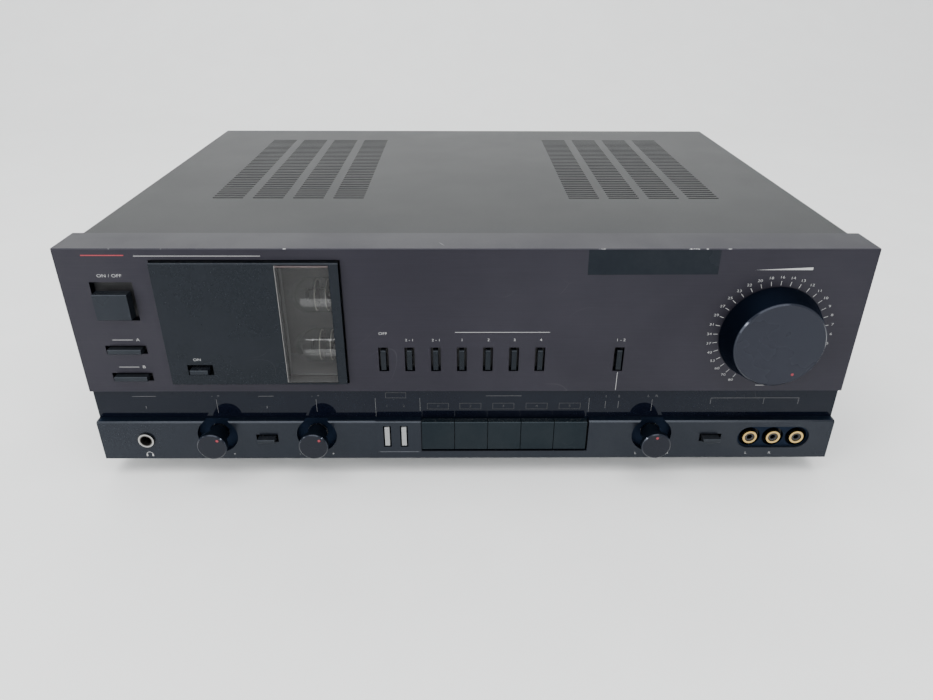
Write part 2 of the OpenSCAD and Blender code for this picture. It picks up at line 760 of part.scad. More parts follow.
module fascia() color([0.25, 0.24, 0.27]) difference() {
    union() {
        across(left_x, right_x)
            polygon([[front_y, strip_top], [panel_y, strip_top], [panel_y, seat_z], [lip_y, seat_z],
                [lip_y, case_top], [front_y + edge_bevel / 2, case_top],
                [front_y, case_top - edge_bevel / 2]]);
        side_returns(panel_y - EPS, strip_top, seat_z + EPS);
    }
    bar_y(power_x, power_top - power_h / 2, power_w, power_h, front_y - CUT, panel_y + CUT);
    for (z = speaker_z) bar_y(power_x, z, power_w, speaker_h, front_y - CUT, panel_y + CUT);
    block([smoked_x0, front_y - CUT, smoked_z0], [smoked_x1, panel_y + CUT, smoked_z1]);
    for (x = concat(rec_xs, [cartridge_x])) bar_y(x, rec_z, rec_w, rec_h, front_y - CUT, panel_y + CUT);
    rod_y(volume_x, volume_z, bush_r + fit, front_y - CUT, panel_y + CUT);
}

module smoked_panel() color([0.10, 0.11, 0.13]) difference() {
    bevelled_bar(smoked_x0 + smoked_gap, smoked_x1 - smoked_gap, smoked_y, panel_y,
        smoked_z0 + smoked_gap, smoked_z1 - smoked_gap, edge_bevel / 2);
    block([window_x0, smoked_y - CUT, window_z0], [window_x1, panel_y + CUT, window_z1]);
    bar_y(preheat_x, preheat_z, preheat_w, preheat_h, smoked_y - CUT, panel_y + CUT);
}

module tube_window() color([0.5, 0.48, 0.45, 0.5])
    bevelled_bar(window_x0 + stem_fit, window_x1 - stem_fit, smoked_y, panel_y,
        window_z0 + stem_fit, window_z1 - stem_fit, edge_bevel / 2);

module indicator_strip() color([0.09, 0.09, 0.10]) {
    block([left_x, strip_y, lower_top], [right_x, panel_y, strip_top]);
    side_returns(panel_y - EPS, lower_top, strip_top);
}

module lower_panel() color([0.16, 0.16, 0.18]) difference() {
    union() {
        difference() {
            lower_block();
            block([left_x + lower_t, lower_y + lower_t, foot_h + lower_t],
                [right_x - lower_t, panel_y + CUT, lower_top - lower_t]);
        }
        intersection() {
            lower_block();
            union() {
                for (x = knob_xs) rod_y(x, knob_z, dish_r + lower_t, lower_y, lower_y + dish_d + dish_floor);
                block([jack_xs[0] - well_r, lower_y, foot_h],
                    [jack_xs[2] + well_r, lower_y + well_d + lower_t, lower_top]);
            }
        }
        bevelled_bar(insert_x0, insert_x1, lower_y - insert_proud, lower_y + lower_t,
            foot_h + insert_rise, lower_top, insert_proud);
        side_returns(panel_y - EPS, foot_h, lower_top);
    }
    for (x = knob_xs) {
        rod_y(x, knob_z, dish_r, lower_y - CUT, lower_y + dish_d);
        rod_y(x, knob_z, knob_stem_r + fit, lower_y, panel_y + CUT);
    }
    for (x = [tone_x, source_x]) bar_y(x, lower_z, slot_w, slot_h, lower_y - CUT, panel_y + CUT);
    for (x = video_xs)
        bar_y(x, video_z, video_w + 2 * video_gap, video_h + 2 * video_gap, lower_y - CUT, panel_y + CUT);
    block([key_x0 - key_seam / 2, lower_y - CUT, foot_h + key_sill],
        [key_x1 + key_end_gap, strip_y, lower_top + CUT]);
    jack_well();
    for (x = jack_xs) rod_y(x, lower_z, jack_hole_r, lower_y, panel_y + CUT);
    rod_y(phones_x, phones_z, phones_bush_r + stem_fit, lower_y - CUT, panel_y + CUT);
}

// The lower panel's outer form, bevelled along its front
module lower_block() {
    across(left_x, right_x)
        polygon([[lower_y, foot_h], [panel_y, foot_h], [panel_y, lower_top],
            [lower_y + edge_bevel, lower_top], [lower_y, lower_top - edge_bevel]]);
}

// The shallow round-ended well round the front jacks
module jack_well() {
    for (x = [jack_xs[0], jack_xs[2]]) rod_y(x, lower_z, well_r, lower_y - CUT, lower_y + well_d);
    block([jack_xs[0], lower_y - CUT, lower_z - well_r], [jack_xs[2], lower_y + well_d, lower_z + well_r]);
}

module indicator_lamps() color("orangered")
    for (x = lamp_xs) bar_y(x, lamp_z, lamp[0], lamp[1], panel_y, board_y);

// Buttons, keys and knobs

function key_mid(i) = key_x0 + (i + 0.5) * key_pitch;

// A bevelled cap in its opening and a square stem that slides through the subpanel into its switch
module push_button(b) {
    cap_back = panel_y - b[7] - fit;
    color(b[0] == "video_button_1" || b[0] == "video_button_2" ? "whitesmoke" : "black") union() {
        bevelled_bar(b[1] - b[3] / 2, b[1] + b[3] / 2, b[5] - b[6], cap_back,
            b[2] - b[4] / 2, b[2] + b[4] / 2, cap_bevel);
        bar_y(b[1], b[2], stem, stem, cap_back - EPS, inner_y + stem_in);
    }
}

module input_key(i) color([0.12, 0.13, 0.15]) union() {
    x0 = key_x0 + i * key_pitch;
    bevelled_bar(x0 + key_seam / 2, x0 + key_pitch - key_seam / 2, key_y, key_back,
        key_z0, key_z1, cap_bevel);
    bar_y(key_mid(i), key_z, stem, stem, key_back - EPS, inner_y + stem_in);
}

// A turned knob with a bore for its shaft and a dot pressed into its face
module volume_knob() color([0.1, 0.1, 0.11]) difference() {
    top = volume_proud - knob_lift;
    face_r = volume_r - volume_draft;
    turned_y(volume_x, volume_z, front_y - knob_lift)
        polygon([[0, 0], [volume_r, 0], [face_r, top - volume_rim], [face_r - volume_rim, top], [0, top]]);
    rod_y(volume_x, volume_z, shaft_r + shaft_run, front_y - volume_proud + shaft_cover, front_y);
    dot(volume_x, volume_z, front_y - volume_proud, volume_r * volume_dot_out, VOLUME_DOT);
}

// A mushroom-shaped knob: a stem that flares to a flat round cap
module small_knob(i) color([0.1, 0.1, 0.11]) difference() {
    top = dish_d + knob_proud - knob_lift;
    turned_y(knob_xs[i], knob_z, lower_y + dish_d - knob_lift)
        polygon([[0, 0], [knob_stem_r, 0], [knob_stem_r, top - knob_cap_t - knob_neck_t],
            [knob_r, top - knob_cap_t], [knob_r, top - knob_rim], [knob_r - knob_rim, top], [0, top]]);
    rod_y(knob_xs[i], knob_z, shaft_r + shaft_run, lower_y - knob_proud + knob_shaft_cover,
        lower_y + dish_d);
    dot(knob_xs[i], knob_z, lower_y - knob_proud, knob_r * knob_dot_out, KNOB_DOT[i]);
}

// A round dimple in a knob's face, a number of degrees clockwise from its top
module dot(x, z, face_y, r, clockwise) {
    rod_y(x + r * sin(clockwise), z + r * cos(clockwise), dot_r, face_y - CUT, face_y + dot_depth);
}

module volume_shaft() color("silver")
    rod_y(volume_x, volume_z, shaft_r, front_y - volume_proud + shaft_cover + fit, board_y - shaft_end);

module small_shaft(i) color("silver")
    rod_y(knob_xs[i], knob_z, shaft_r, lower_y - knob_proud + knob_shaft_cover + fit, board_y - shaft_end);

// Sockets and controls behind the front

// A control body on the subpanel with a bored bush through it
module potentiometer(x, z, side, bush_front) difference() {
    union() {
        bar_y(x, z, side, side, inner_y, board_y);
        rod_y(x, z, bush_r, bush_front, inner_y + EPS);
    }
    rod_y(x, z, shaft_r + shaft_run, bush_front - CUT, board_y - shaft_end + fit);
}

module potentiometers() color("darkgray") {
    potentiometer(volume_x, volume_z, volume_pot, front_y + bush_back);
    for (x = knob_xs) potentiometer(x, knob_z, tone_pot, lower_y + dish_d + bush_back);
}

// A switch body on the subpanel, hollow where the stem slides
module push_switch(x, z, w, h, throw) difference() {
    bar_y(x, z, w, h, inner_y, board_y);
    bar_y(x, z, stem + 2 * stem_fit, stem + 2 * stem_fit, inner_y - CUT, inner_y + stem_in + throw + fit);
}

module push_switches() color("ivory") {
    for (b = BUTTONS) push_switch(b[1], b[2], switch_size(b[3]), switch_size(b[4]), b[7]);
    for (i = [0 : key_count - 1]) push_switch(key_mid(i), key_z, switch_side, switch_side, travel);
}

// A switch body follows its cap's size, within the wall round its stem and its largest side
function switch_size(cap) = min(max(cap, stem + 2 * switch_wall), switch_side);

module phones_socket() color("silver") difference() {
    union() {
        rod_y(phones_x, phones_z, phones_bush_r + phones_rim, lower_y - phones_rim_t, lower_y);
        rod_y(phones_x, phones_z, phones_bush_r, lower_y - EPS, inner_y + EPS);
        bar_y(phones_x, phones_z, phones_side, phones_side, inner_y, lower_y + phones_depth + phones_t);
    }
    rod_y(phones_x, phones_z, phones_r, lower_y - 2 * phones_rim_t, lower_y + phones_depth);
}

// A jack turned about its axis: stud through the panel, flange on it, shell, insulator and centre contact
module jack(x, z, seat_y, out, towards_front) {
    flange_r = jack_r + jack_flange;
    turned_y(x, z, seat_y, towards_front)
        polygon([[0, -stud_in], [stud_r, -stud_in], [stud_r, 0], [flange_r, 0], [flange_r, jack_flange_t],
            [jack_r, jack_flange_t], [jack_r, out], [jack_bore_r, out], [jack_bore_r, out - jack_recess],
            [contact_r, out - jack_recess], [contact_r, contact_floor], [0, contact_floor]]);
}

module front_jacks() color("gold")
    for (x = jack_xs) jack(x, lower_z, panel_y, panel_y - lower_y, true);

module rear_jacks() color("gold")
    for (x = rear_jack_xs, z = row_z) jack(x, z, rear_y, rear_jack_proud, false);

// A clamping post, screwed down, with a waisted neck for the bare wire
module post(x, z, r, out) {
    waist_r = r * post_waist;
    cap_from = post_flange_t + post_gap;
    turned_y(x, z, rear_y, false)
        polygon([[0, -stud_in], [stud_r, -stud_in], [stud_r, 0], [r, 0], [r, post_flange_t],
            [waist_r, post_flange_t], [waist_r, cap_from], [r, cap_from], [r, out - post_bevel],
            [r - post_bevel, out], [0, out]]);
}

module speaker_posts() color([0.12, 0.12, 0.12])
    for (x = post_xs, z = row_z) post(x, z, post_r, post_proud);

module ground_post() color("silver")
    post(ground_x, row_z[0], post_r * ground_scale, post_proud * ground_scale);

module cord_gland() color([0.08, 0.08, 0.08])
    turned_y(gland_x, gland_z, rear_y, false)
        polygon([[gland_bore_r, -sheet_t - gland_in], [gland_r, -sheet_t - gland_in], [gland_r, 0],
            [gland_r + gland_rim, 0], [gland_r + gland_rim, gland_rim], [gland_r, gland_out],
            [gland_bore_r, gland_out]]);

// Tube stage

module tube_glass() color([0.8, 0.85, 0.85, 0.4])
    for (z = tube_z) translate([socket_x, tube_y, z]) rotate([0, -90, 0]) rotate_extrude() difference() {
        bulb(tube_r, tube_len);
        translate([0, -EPS]) bulb(tube_r - glass_t, tube_len - glass_t - pip_h);
    }

// Half of a bulb's outline: a straight wall, a domed end and a drawn tip
module bulb(r, len) {
    dome = r * dome_share;
    wall_len = len - dome - pip_h;
    square([r, wall_len]);
    translate([0, wall_len - EPS]) intersection() {
        square([r, dome + pip_h]);
        translate([0, dome - r]) circle(r);
    }
    translate([0, len - 2 * pip_h]) square([pip_r, 2 * pip_h]);
}

module tube_electrodes() color("darkslategray")
    for (z = tube_z) translate([socket_x, tube_y, z]) rotate([0, -90, 0]) electrode();

// The electrode stack on its stem: two mica discs with two flat plates between them
module electrode() {
    stack = tube_len - tube_tip;
    mica_r = tube_r - glass_t - fit;
    cylinder(h = stem_h + EPS, r = shaft_r);
    for (h = [stem_h, stack - mica_t]) translate([0, 0, h]) cylinder(h = mica_t, r = mica_r);
    for (s = [-1, 1]) translate([-plate_w / 2, s * plate_apart / 2 - plate_t / 2, stem_h])
        cube([plate_w, plate_t, stack - stem_h]);
}

module tube_sockets() color("white")
    for (z = tube_z) translate([socket_x, tube_y, z]) rotate([0, 90, 0]) {
        cylinder(h = socket_t, r = tube_r);
        translate([0, 0, socket_t - EPS]) cylinder(h = sheet_t + socket_neck + EPS, r = socket_neck_r);
    }

// A folded screening can, open towards the window, with the sockets in its end wall
module tube_can() color("lightgray") difference() {
    block([can_x0, inner_y, can_z[0]], [can_x1, can_y1, can_z[1]]);
    block([can_x0 - CUT, inner_y - CUT, can_z[0] + sheet_t],
        [can_x1 - sheet_t, can_y1 - sheet_t, can_z[1] - sheet_t]);
    for (z = tube_z) translate([can_x1 - sheet_t - CUT, tube_y, z]) rotate([0, 90, 0])
        cylinder(h = sheet_t + 2 * CUT, r = socket_neck_r + stem_fit);
}

// Inner works

module transformer_core() color("dimgray")
    translate([core_x, front_y + core_y + core_stack / 2, core_bottom]) rotate([90, 0, 0])
        linear_extrude(core_stack) difference() {
            translate([-core_w / 2, 0]) square([core_w, core_h]);
            for (s = [-1, 1]) translate([s * core_window_x() - core_window() / 2, core_limb])
                square([core_window(), core_h - 2 * core_limb]);
        }

function core_window() = (core_w - 4 * core_limb) / 2;
function core_window_x() = core_limb + core_window() / 2;

module transformer_winding() color("goldenrod")
    translate([core_x, front_y + core_y, core_bottom + core_limb + fit])
        linear_extrude(core_h - 2 * core_limb - 2 * fit) difference() {
            winding_outline(core_limb + core_window() - fit, core_stack / 2 + winding_out);
            square([2 * core_limb + 2 * fit, core_stack + 2 * fit], center = true);
        }

// The winding's outline: a rectangle with rounded ends
module winding_outline(half_w, half_d) {
    r = winding_r;
    square([2 * half_w, 2 * half_d - 2 * r], center = true);
    square([2 * half_w - 2 * r, 2 * half_d], center = true);
    for (sx = [-1, 1], sy = [-1, 1]) translate([sx * (half_w - r), sy * (half_d - r)]) circle(r);
}

module heatsink() color("silver")
    translate([sink_x, sink_y0, floor_z]) linear_extrude(sink_h) {
        square([sink_base, sink_len]);
        for (i = [0 : sink_fins - 1])
            translate([sink_base - EPS, i * (sink_len - sink_fin_t) / (sink_fins - 1)])
                square([sink_fin + EPS, sink_fin_t]);
    }

module output_transistors() color("black")
    for (i = [0 : transistor_count - 1]) {
        y = sink_y0 + (i + 0.5) * sink_len / transistor_count;
        translate([sink_x - transistor[0], y - transistor[1] / 2, floor_z + sink_h / 2]) cube(transistor);
    }

module filter_capacitors() color("navy")
    for (s = [-1, 1]) {
        x = board_x0 + board_w / 2 + s * (cap_r + cap_apart);
        translate([x, board_y0 + board_d * cap_place, board_z + board_t]) rotate_extrude()
            polygon([[0, 0], [cap_r, 0], [cap_r, cap_h - cap_lip], [cap_r - cap_lip, cap_h],
                [cap_r - 3 * cap_lip, cap_h - cap_lip], [0, cap_h - cap_lip]]);
    }

module amplifier_board() color("darkgreen")
    translate([board_x0, board_y0, board_z]) cube([board_w, board_d, board_t]);

module control_boards() color("darkgreen") {
    block([control_board_x[0], board_y, floor_z + fit], [control_board_x[1], board_y + board_t, strip_top]);
    block([selector_board_x[0], board_y, rec_z - rec_h / 2],
        [selector_board_x[1], board_y + board_t, rec_z + rec_h / 2]);
}

chassis_base();
feet();
case_screws();
front_subpanel();
rear_panel();
top_cover();
fascia();
smoked_panel();
tube_window();
lower_panel();
indicator_strip();
indicator_lamps();
tube_glass();
tube_electrodes();
tube_sockets();
tube_can();
transformer_core();
transformer_winding();
heatsink();
output_transistors();
filter_capacitors();
amplifier_board();
control_boards();
potentiometers();
push_switches();
phones_socket();
front_jacks();
rear_jacks();
speaker_posts();
ground_post();
cord_gland();
volume_knob();
volume_shaft();
for (i = [0 : 2]) small_knob(i);
for (i = [0 : 2]) small_shaft(i);
for (b = BUTTONS) push_button(b);
for (i = [0 : key_count - 1]) input_key(i);
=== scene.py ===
import math

import bmesh
import bpy
from mathutils import Matrix, Vector


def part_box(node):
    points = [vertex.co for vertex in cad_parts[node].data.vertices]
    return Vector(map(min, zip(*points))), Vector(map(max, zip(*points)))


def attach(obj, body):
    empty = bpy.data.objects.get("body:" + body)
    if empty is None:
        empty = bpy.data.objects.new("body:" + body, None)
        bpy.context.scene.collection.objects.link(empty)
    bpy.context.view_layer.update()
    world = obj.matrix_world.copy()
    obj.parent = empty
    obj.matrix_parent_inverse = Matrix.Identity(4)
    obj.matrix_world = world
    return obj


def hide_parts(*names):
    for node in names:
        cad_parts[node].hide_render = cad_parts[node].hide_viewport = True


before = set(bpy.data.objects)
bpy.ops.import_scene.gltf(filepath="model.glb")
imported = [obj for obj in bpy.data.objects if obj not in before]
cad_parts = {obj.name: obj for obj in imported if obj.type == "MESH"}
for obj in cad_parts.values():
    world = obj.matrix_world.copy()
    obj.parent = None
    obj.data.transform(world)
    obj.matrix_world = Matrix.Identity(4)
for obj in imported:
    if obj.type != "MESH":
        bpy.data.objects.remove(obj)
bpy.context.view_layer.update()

# Chassis pan: bent from zinc-plated sheet steel, with posts for the board and slots in its floor.
# The plating shows as pale grey metal with broad, faint crystals.
MM = 0.001


def add_node(tree, kind, *values, **options):
    """Adds a node, sets its options, then fills its inputs in order with values or links."""
    made = tree.nodes.new(kind)
    for name, value in options.items():
        setattr(made, name, value)
    for socket, value in zip(made.inputs, values):
        if isinstance(value, bpy.types.NodeSocket):
            tree.links.new(value, socket)
        elif value is not None:
            socket.default_value = value
    return made


def shader_group(name, numbers, vectors, outputs):
    """An empty shader node group with named inputs and outputs, and its inner sockets."""
    group = bpy.data.node_groups.new(name, "ShaderNodeTree")
    for kind, inputs in (("NodeSocketFloat", numbers), ("NodeSocketVector", vectors)):
        for label, value in inputs.items():
            group.interface.new_socket(label, in_out="INPUT", socket_type=kind).default_value = value
    for label in outputs:
        group.interface.new_socket(label, in_out="OUTPUT", socket_type="NodeSocketFloat")
    return group, group.nodes.new("NodeGroupInput").outputs, group.nodes.new("NodeGroupOutput").inputs


def ramp(tree, value, low, high, start=0.0, end=1.0):
    """A smooth step from one value to another."""
    made = add_node(tree, "ShaderNodeMapRange", value, low, high, start, end, interpolation_type="SMOOTHSTEP")
    return made.outputs[0]


def calculate(tree, operation, first, second=0.0):
    return add_node(tree, "ShaderNodeMath", first, second, operation=operation).outputs[0]


def product(tree, first, second):
    return calculate(tree, "MULTIPLY", first, second)


def blend_color(tree, factor, first, second):
    made = add_node(tree, "ShaderNodeMix", factor, data_type="RGBA")
    for index, value in ((6, first), (7, second)):
        if isinstance(value, bpy.types.NodeSocket):
            tree.links.new(value, made.inputs[index])
        else:
            made.inputs[index].default_value = (*value, 1.0)
    return made.outputs[2]


def blend_value(tree, factor, first, second):
    made = add_node(tree, "ShaderNodeMix", factor, None, first, second, data_type="FLOAT")
    return made.outputs[0]


fine_grain, given, result = shader_group(
    "Fine grain", {"Scale": 800.0}, {"Stretch": (1.0, 1.0, 1.0)}, ("Grain", "Blotch", "Tone"))
place = add_node(fine_grain, "ShaderNodeTexCoord").outputs["Object"]
drawn = add_node(fine_grain, "ShaderNodeVectorMath", place, given["Stretch"], operation="MULTIPLY").outputs[0]
grain = add_node(fine_grain, "ShaderNodeTexNoise", drawn, None, given["Scale"], 3.0, 0.6).outputs[0]
blotch = add_node(fine_grain, "ShaderNodeTexNoise", place, None, 17.0, 4.0, 0.55).outputs[0]
fine_grain.links.new(grain, result["Grain"])
fine_grain.links.new(blotch, result["Blotch"])
fine_grain.links.new(blend_value(fine_grain, 0.45, grain, blotch), result["Tone"])


class Finish:
    """A material whose colour, gloss and relief follow a fine grain over broad, faint blotches."""

    def __init__(self, name, dark, light, rough, metallic=0.0, scale=800.0, stretch=(1.0, 1.0, 1.0),
                 relief=0.1, gloss=0.5, tint=(1.0, 1.0, 1.0)):
        self.material = bpy.data.materials.new(name)
        self.material.use_nodes = True
        self.tree = self.material.node_tree
        self.shader = self.tree.nodes["Principled BSDF"]
        self.metallic = metallic
        self.shader.inputs["Metallic"].default_value = metallic
        self.shader.inputs["Specular IOR Level"].default_value = gloss
        self.shader.inputs["Specular Tint"].default_value = (*tint, 1.0)
        self.grain = add_node(self.tree, "ShaderNodeGroup", scale, stretch, node_tree=fine_grain).outputs
        self.color = blend_color(self.tree, ramp(self.tree, self.grain["Tone"], 0.3, 0.7), dark, light)
        self.rough = ramp(self.tree, self.grain["Blotch"], 0.3, 0.7, *rough)
        bump = add_node(self.tree, "ShaderNodeBump")
        bump.inputs["Strength"].default_value = relief
        bump.inputs["Distance"].default_value = 0.1 * MM
        self.tree.links.new(self.grain["Grain"], bump.inputs["Height"])
        self.tree.links.new(bump.outputs[0], self.shader.inputs["Normal"])
        self.connect()

    def connect(self):
        self.tree.links.new(self.color, self.shader.inputs["Base Color"])
        self.tree.links.new(self.rough, self.shader.inputs["Roughness"])

    def over(self, mask, color, rough=None, metallic=None):
        """Lays a second colour, and gloss, over the finish where the mask is set."""
        self.color = blend_color(self.tree, mask, self.color, color)
        if rough is not None:
            self.rough = blend_value(self.tree, mask, self.rough, rough)
        if metallic is not None:
            self.metallic = blend_value(self.tree, mask, self.metallic, metallic)
            self.tree.links.new(self.metallic, self.shader.inputs["Metallic"])
        self.connect()

    def place(self):
        """The place on the piece, in metres."""
        return add_node(self.tree, "ShaderNodeTexCoord").outputs["Object"]

    def axes(self):
        """The same place as three numbers: across, deep and up."""
        return add_node(self.tree, "ShaderNodeSeparateXYZ", self.place()).outputs

    def step(self, value, start, end):
        """A mask along a length: nothing at one mark, full at the other, both in millimetres."""
        return ramp(self.tree, value, start * MM, end * MM)

    def both(self, first, second):
        """Where two masks meet."""
        return product(self.tree, first, second)

    def beyond(self, value, mark):
        """How far a length lies past a mark in millimetres."""
        return calculate(self.tree, "SUBTRACT", value, mark * MM)

    def off_axis(self, first, second):
        """Distance from an axis, from two lengths square to it."""
        pair = add_node(self.tree, "ShaderNodeCombineXYZ", first, second).outputs[0]
        return add_node(self.tree, "ShaderNodeVectorMath", pair, operation="LENGTH").outputs["Value"]

    def dress(self, *nodes):
        for name in nodes:
            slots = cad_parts[name].data.materials
            slots.clear()
            slots.append(self.material)


zinc = Finish("zinc plated steel", (0.36, 0.37, 0.38), (0.52, 0.53, 0.53), (0.26, 0.42), 1.0, 160.0,
              relief=0.04)
spangle = add_node(zinc.tree, "ShaderNodeTexVoronoi", zinc.place(), None, 85.0)
zinc.over(ramp(zinc.tree, spangle.outputs["Distance"], 0.1, 0.75, 0.0, 0.45), (0.62, 0.63, 0.63))
zinc.dress("chassis_base")

# Rear panel and the plate behind the front: punched sheet steel with a thin satin black paint.
# Their flanges carry the cover, and every stud, bush and stem passes through a hole in them.
# Behind the window the front plate is grey, like the can.


def black_sheet(name):
    return Finish(name, (0.012, 0.012, 0.013), (0.022, 0.022, 0.024), (0.42, 0.58), 0.0, 1500.0, relief=0.25)


def corners(node):
    """A node's lowest and highest corners at rest, in millimetres."""
    return [Vector(corner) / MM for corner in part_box(node)]


black_sheet("black satin paint").dress("rear_panel")
plate_paint = black_sheet("black plate paint")
low, high = corners("tube_window")
across = plate_paint.axes()[0]
at_window = plate_paint.both(plate_paint.step(across, low.x - 4, low.x - 3),
                             plate_paint.step(across, high.x + 4, high.x + 3))
plate_paint.over(at_window, (0.2, 0.2, 0.2), 0.55)
plate_paint.dress("front_subpanel")

# Feet: moulded black rubber, each held up into the pan by one screw in its hollow.
# The rubber is dull, with a bloom of grey where it has aged.
rubber = Finish("foot rubber", (0.014, 0.014, 0.014), (0.034, 0.033, 0.032), (0.62, 0.8), 0.0, 600.0,
                relief=0.3)
rubber.dress("feet")

# Case screws: pan-head steel, blackened by oxide, four in the feet and two in each side of the cover.
# The side screws have a cross recess, shown by a dark inlay on their heads: painted shade for the hollow.
oxide = Finish("black oxide steel", (0.05, 0.05, 0.052), (0.11, 0.11, 0.115), (0.3, 0.45), 1.0, 1200.0)
oxide.dress("case_screws")


def add_block(mesh, low, high):
    """A box between two corners, in millimetres."""
    size = Vector(high) - Vector(low)
    middle = (Vector(low) + Vector(high)) / 2
    bmesh.ops.create_cube(mesh, size=1.0, matrix=Matrix.LocRotScale(middle * MM, None, size * MM))


def keep_piece(name, mesh, finish, body):
    """Turns an edit mesh into a piece that rides on a body."""
    bmesh.ops.recalc_face_normals(mesh, faces=mesh.faces)
    data = bpy.data.meshes.new(name)
    mesh.to_mesh(data)
    mesh.free()
    data.materials.append(finish.material)
    piece = bpy.data.objects.new(name, data)
    bpy.context.scene.collection.objects.link(piece)
    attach(piece, body)
    return piece


# Painted shade: a near-black for the hollows of the cross recesses.
painted_recess_shade = Finish("painted recess shade", (0.004, 0.004, 0.004), (0.009, 0.009, 0.01), (0.6, 0.75))
front = corners("fascia")[0].y
rear = corners("rear_panel")[1].y
side_screw_depths = (front + 85, rear - 60)
side_screw_height = 21
cross_arm, cross_half, inlay = 1.9, 0.42, 0.03
crosses = bmesh.new()
for corner in corners("case_screws"):
    for depth in side_screw_depths:
        for deep, up in ((cross_arm, cross_half), (cross_half, cross_arm)):
            add_block(crosses, (corner.x - inlay, depth - deep, side_screw_height - up),
                      (corner.x + inlay, depth + deep, side_screw_height + up))
keep_piece("screw_crosses", crosses, painted_recess_shade, "chassis")

# Mains transformer: a stack of thin iron plates with a taped copper winding round its middle limb.
# The plates' edges show as fine upright lines, and the tape's turns as soft steps.
lamination = Finish("laminated iron", (0.035, 0.034, 0.034), (0.09, 0.085, 0.08), (0.4, 0.6), 0.7, 1600.0,
                    (0.03, 1.0, 0.03), 0.35)
lamination.dress("transformer_core")
tape = Finish("amber winding tape", (0.42, 0.2, 0.035), (0.62, 0.34, 0.07), (0.3, 0.42), 0.0, 420.0,
              (0.08, 0.08, 1.0), 0.3)
tape.dress("transformer_winding")

# Heatsink with four power transistors screwed to its base: extruded alloy, its fins towards the case's side.
# The extrusion leaves fine upright lines. The transistors are black epoxy.
alloy = Finish("extruded alloy", (0.3, 0.3, 0.31), (0.46, 0.46, 0.47), (0.34, 0.46), 1.0, 2200.0,
               (1.0, 1.0, 0.02), 0.2)
alloy.dress("heatsink")
epoxy = Finish("black epoxy", (0.008, 0.008, 0.009), (0.02, 0.02, 0.022), (0.4, 0.55), 0.0, 1800.0,
               relief=0.2)
epoxy.dress("output_transistors")

# Filter capacitors: two cans in a shrunk dark blue sleeve, soldered upright into the amplifier board.
# The sleeve is glossy and a little uneven.
sleeve = Finish("shrunk sleeve", (0.006, 0.012, 0.05), (0.014, 0.026, 0.09), (0.16, 0.28), 0.0, 90.0,
                relief=0.25)
sleeve.dress("filter_capacitors")

# Circuit boards: glass-epoxy laminate with a green lacquer over its copper.
# The copper's broad areas show through as a lighter green.
laminate = Finish("board laminate", (0.012, 0.05, 0.022), (0.022, 0.085, 0.036), (0.28, 0.4), 0.0, 900.0)
copper = add_node(laminate.tree, "ShaderNodeTexVoronoi", laminate.place(), None, 120.0, distance="CHEBYCHEV")
laminate.over(ramp(laminate.tree, copper.outputs["Distance"], 0.42, 0.46), (0.045, 0.14, 0.06))
laminate.dress("amplifier_board", "control_boards")

# Rear jacks: turned brass shells with gold flash, pressed through the rear panel in two rows of nine.
# Each has a ring of white or red moulding in its mouth, round the hole of the centre contact.
gold = Finish("gold flash", (0.72, 0.46, 0.13), (0.88, 0.62, 0.24), (0.14, 0.26), 1.0, 1400.0, relief=0.04)
gold.dress("rear_jacks")
row_inputs = {"Columns": "Int", "Rows": "Int", "Column Pitch": "Float", "Row Pitch": "Float",
              "First": "Vector"}


def geometry_tool(name, inputs):
    """An empty Geometry Nodes tree with named inputs, and its input sockets."""
    tree = bpy.data.node_groups.new(name, "GeometryNodeTree")
    tree.is_modifier = True
    tree.interface.new_socket("Geometry", in_out="OUTPUT", socket_type="NodeSocketGeometry")
    for label, kind in inputs.items():
        tree.interface.new_socket(label, in_out="INPUT", socket_type="NodeSocket" + kind)
    return tree, tree.nodes.new("NodeGroupInput").outputs


def end_tool(tree, geometry, material):
    """Ends a tree in real geometry with its material."""
    real = add_node(tree, "GeometryNodeRealizeInstances", geometry).outputs[0]
    finished = tree.nodes.new("GeometryNodeSetMaterial")
    tree.links.new(real, finished.inputs["Geometry"])
    tree.links.new(material, finished.inputs["Material"])
    end = tree.nodes.new("NodeGroupOutput")
    tree.links.new(finished.outputs[0], end.inputs[0])


def grow(name, tree, body, slot, **sizes):
    """Runs a tree with its sizes, keeps the result as a plain mesh, and rides it on a body."""
    piece = bpy.data.objects.new(name, bpy.data.meshes.new(name))
    bpy.context.scene.collection.objects.link(piece)
    tool = piece.modifiers.new(name, "NODES")
    tool.node_group = tree
    for item in tree.interface.items_tree:
        if item.in_out == "INPUT":
            tool[item.identifier] = sizes[item.name.lower().replace(" ", "_")]
    seen = piece.evaluated_get(bpy.context.evaluated_depsgraph_get())
    data = bpy.data.meshes.new_from_object(seen)
    piece.modifiers.remove(tool)
    piece.data = data
    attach(piece, body)


def row_of_points(tree, given):
    """Points in rows and columns on an upright plane, counted along the columns first."""
    columns = given["Columns"]
    count = add_node(tree, "FunctionNodeIntegerMath", columns, given["Rows"], operation="MULTIPLY").outputs[0]
    index = tree.nodes.new("GeometryNodeInputIndex").outputs[0]
    column = calculate(tree, "MODULO", index, columns)
    row = calculate(tree, "FLOOR", calculate(tree, "DIVIDE", index, columns))
    shift = add_node(tree, "ShaderNodeCombineXYZ", product(tree, column, given["Column Pitch"]), 0.0,
                     product(tree, row, given["Row Pitch"])).outputs[0]
    spot = add_node(tree, "ShaderNodeVectorMath", given["First"], shift, operation="ADD").outputs[0]
    return add_node(tree, "GeometryNodePoints", count, spot).outputs[0]


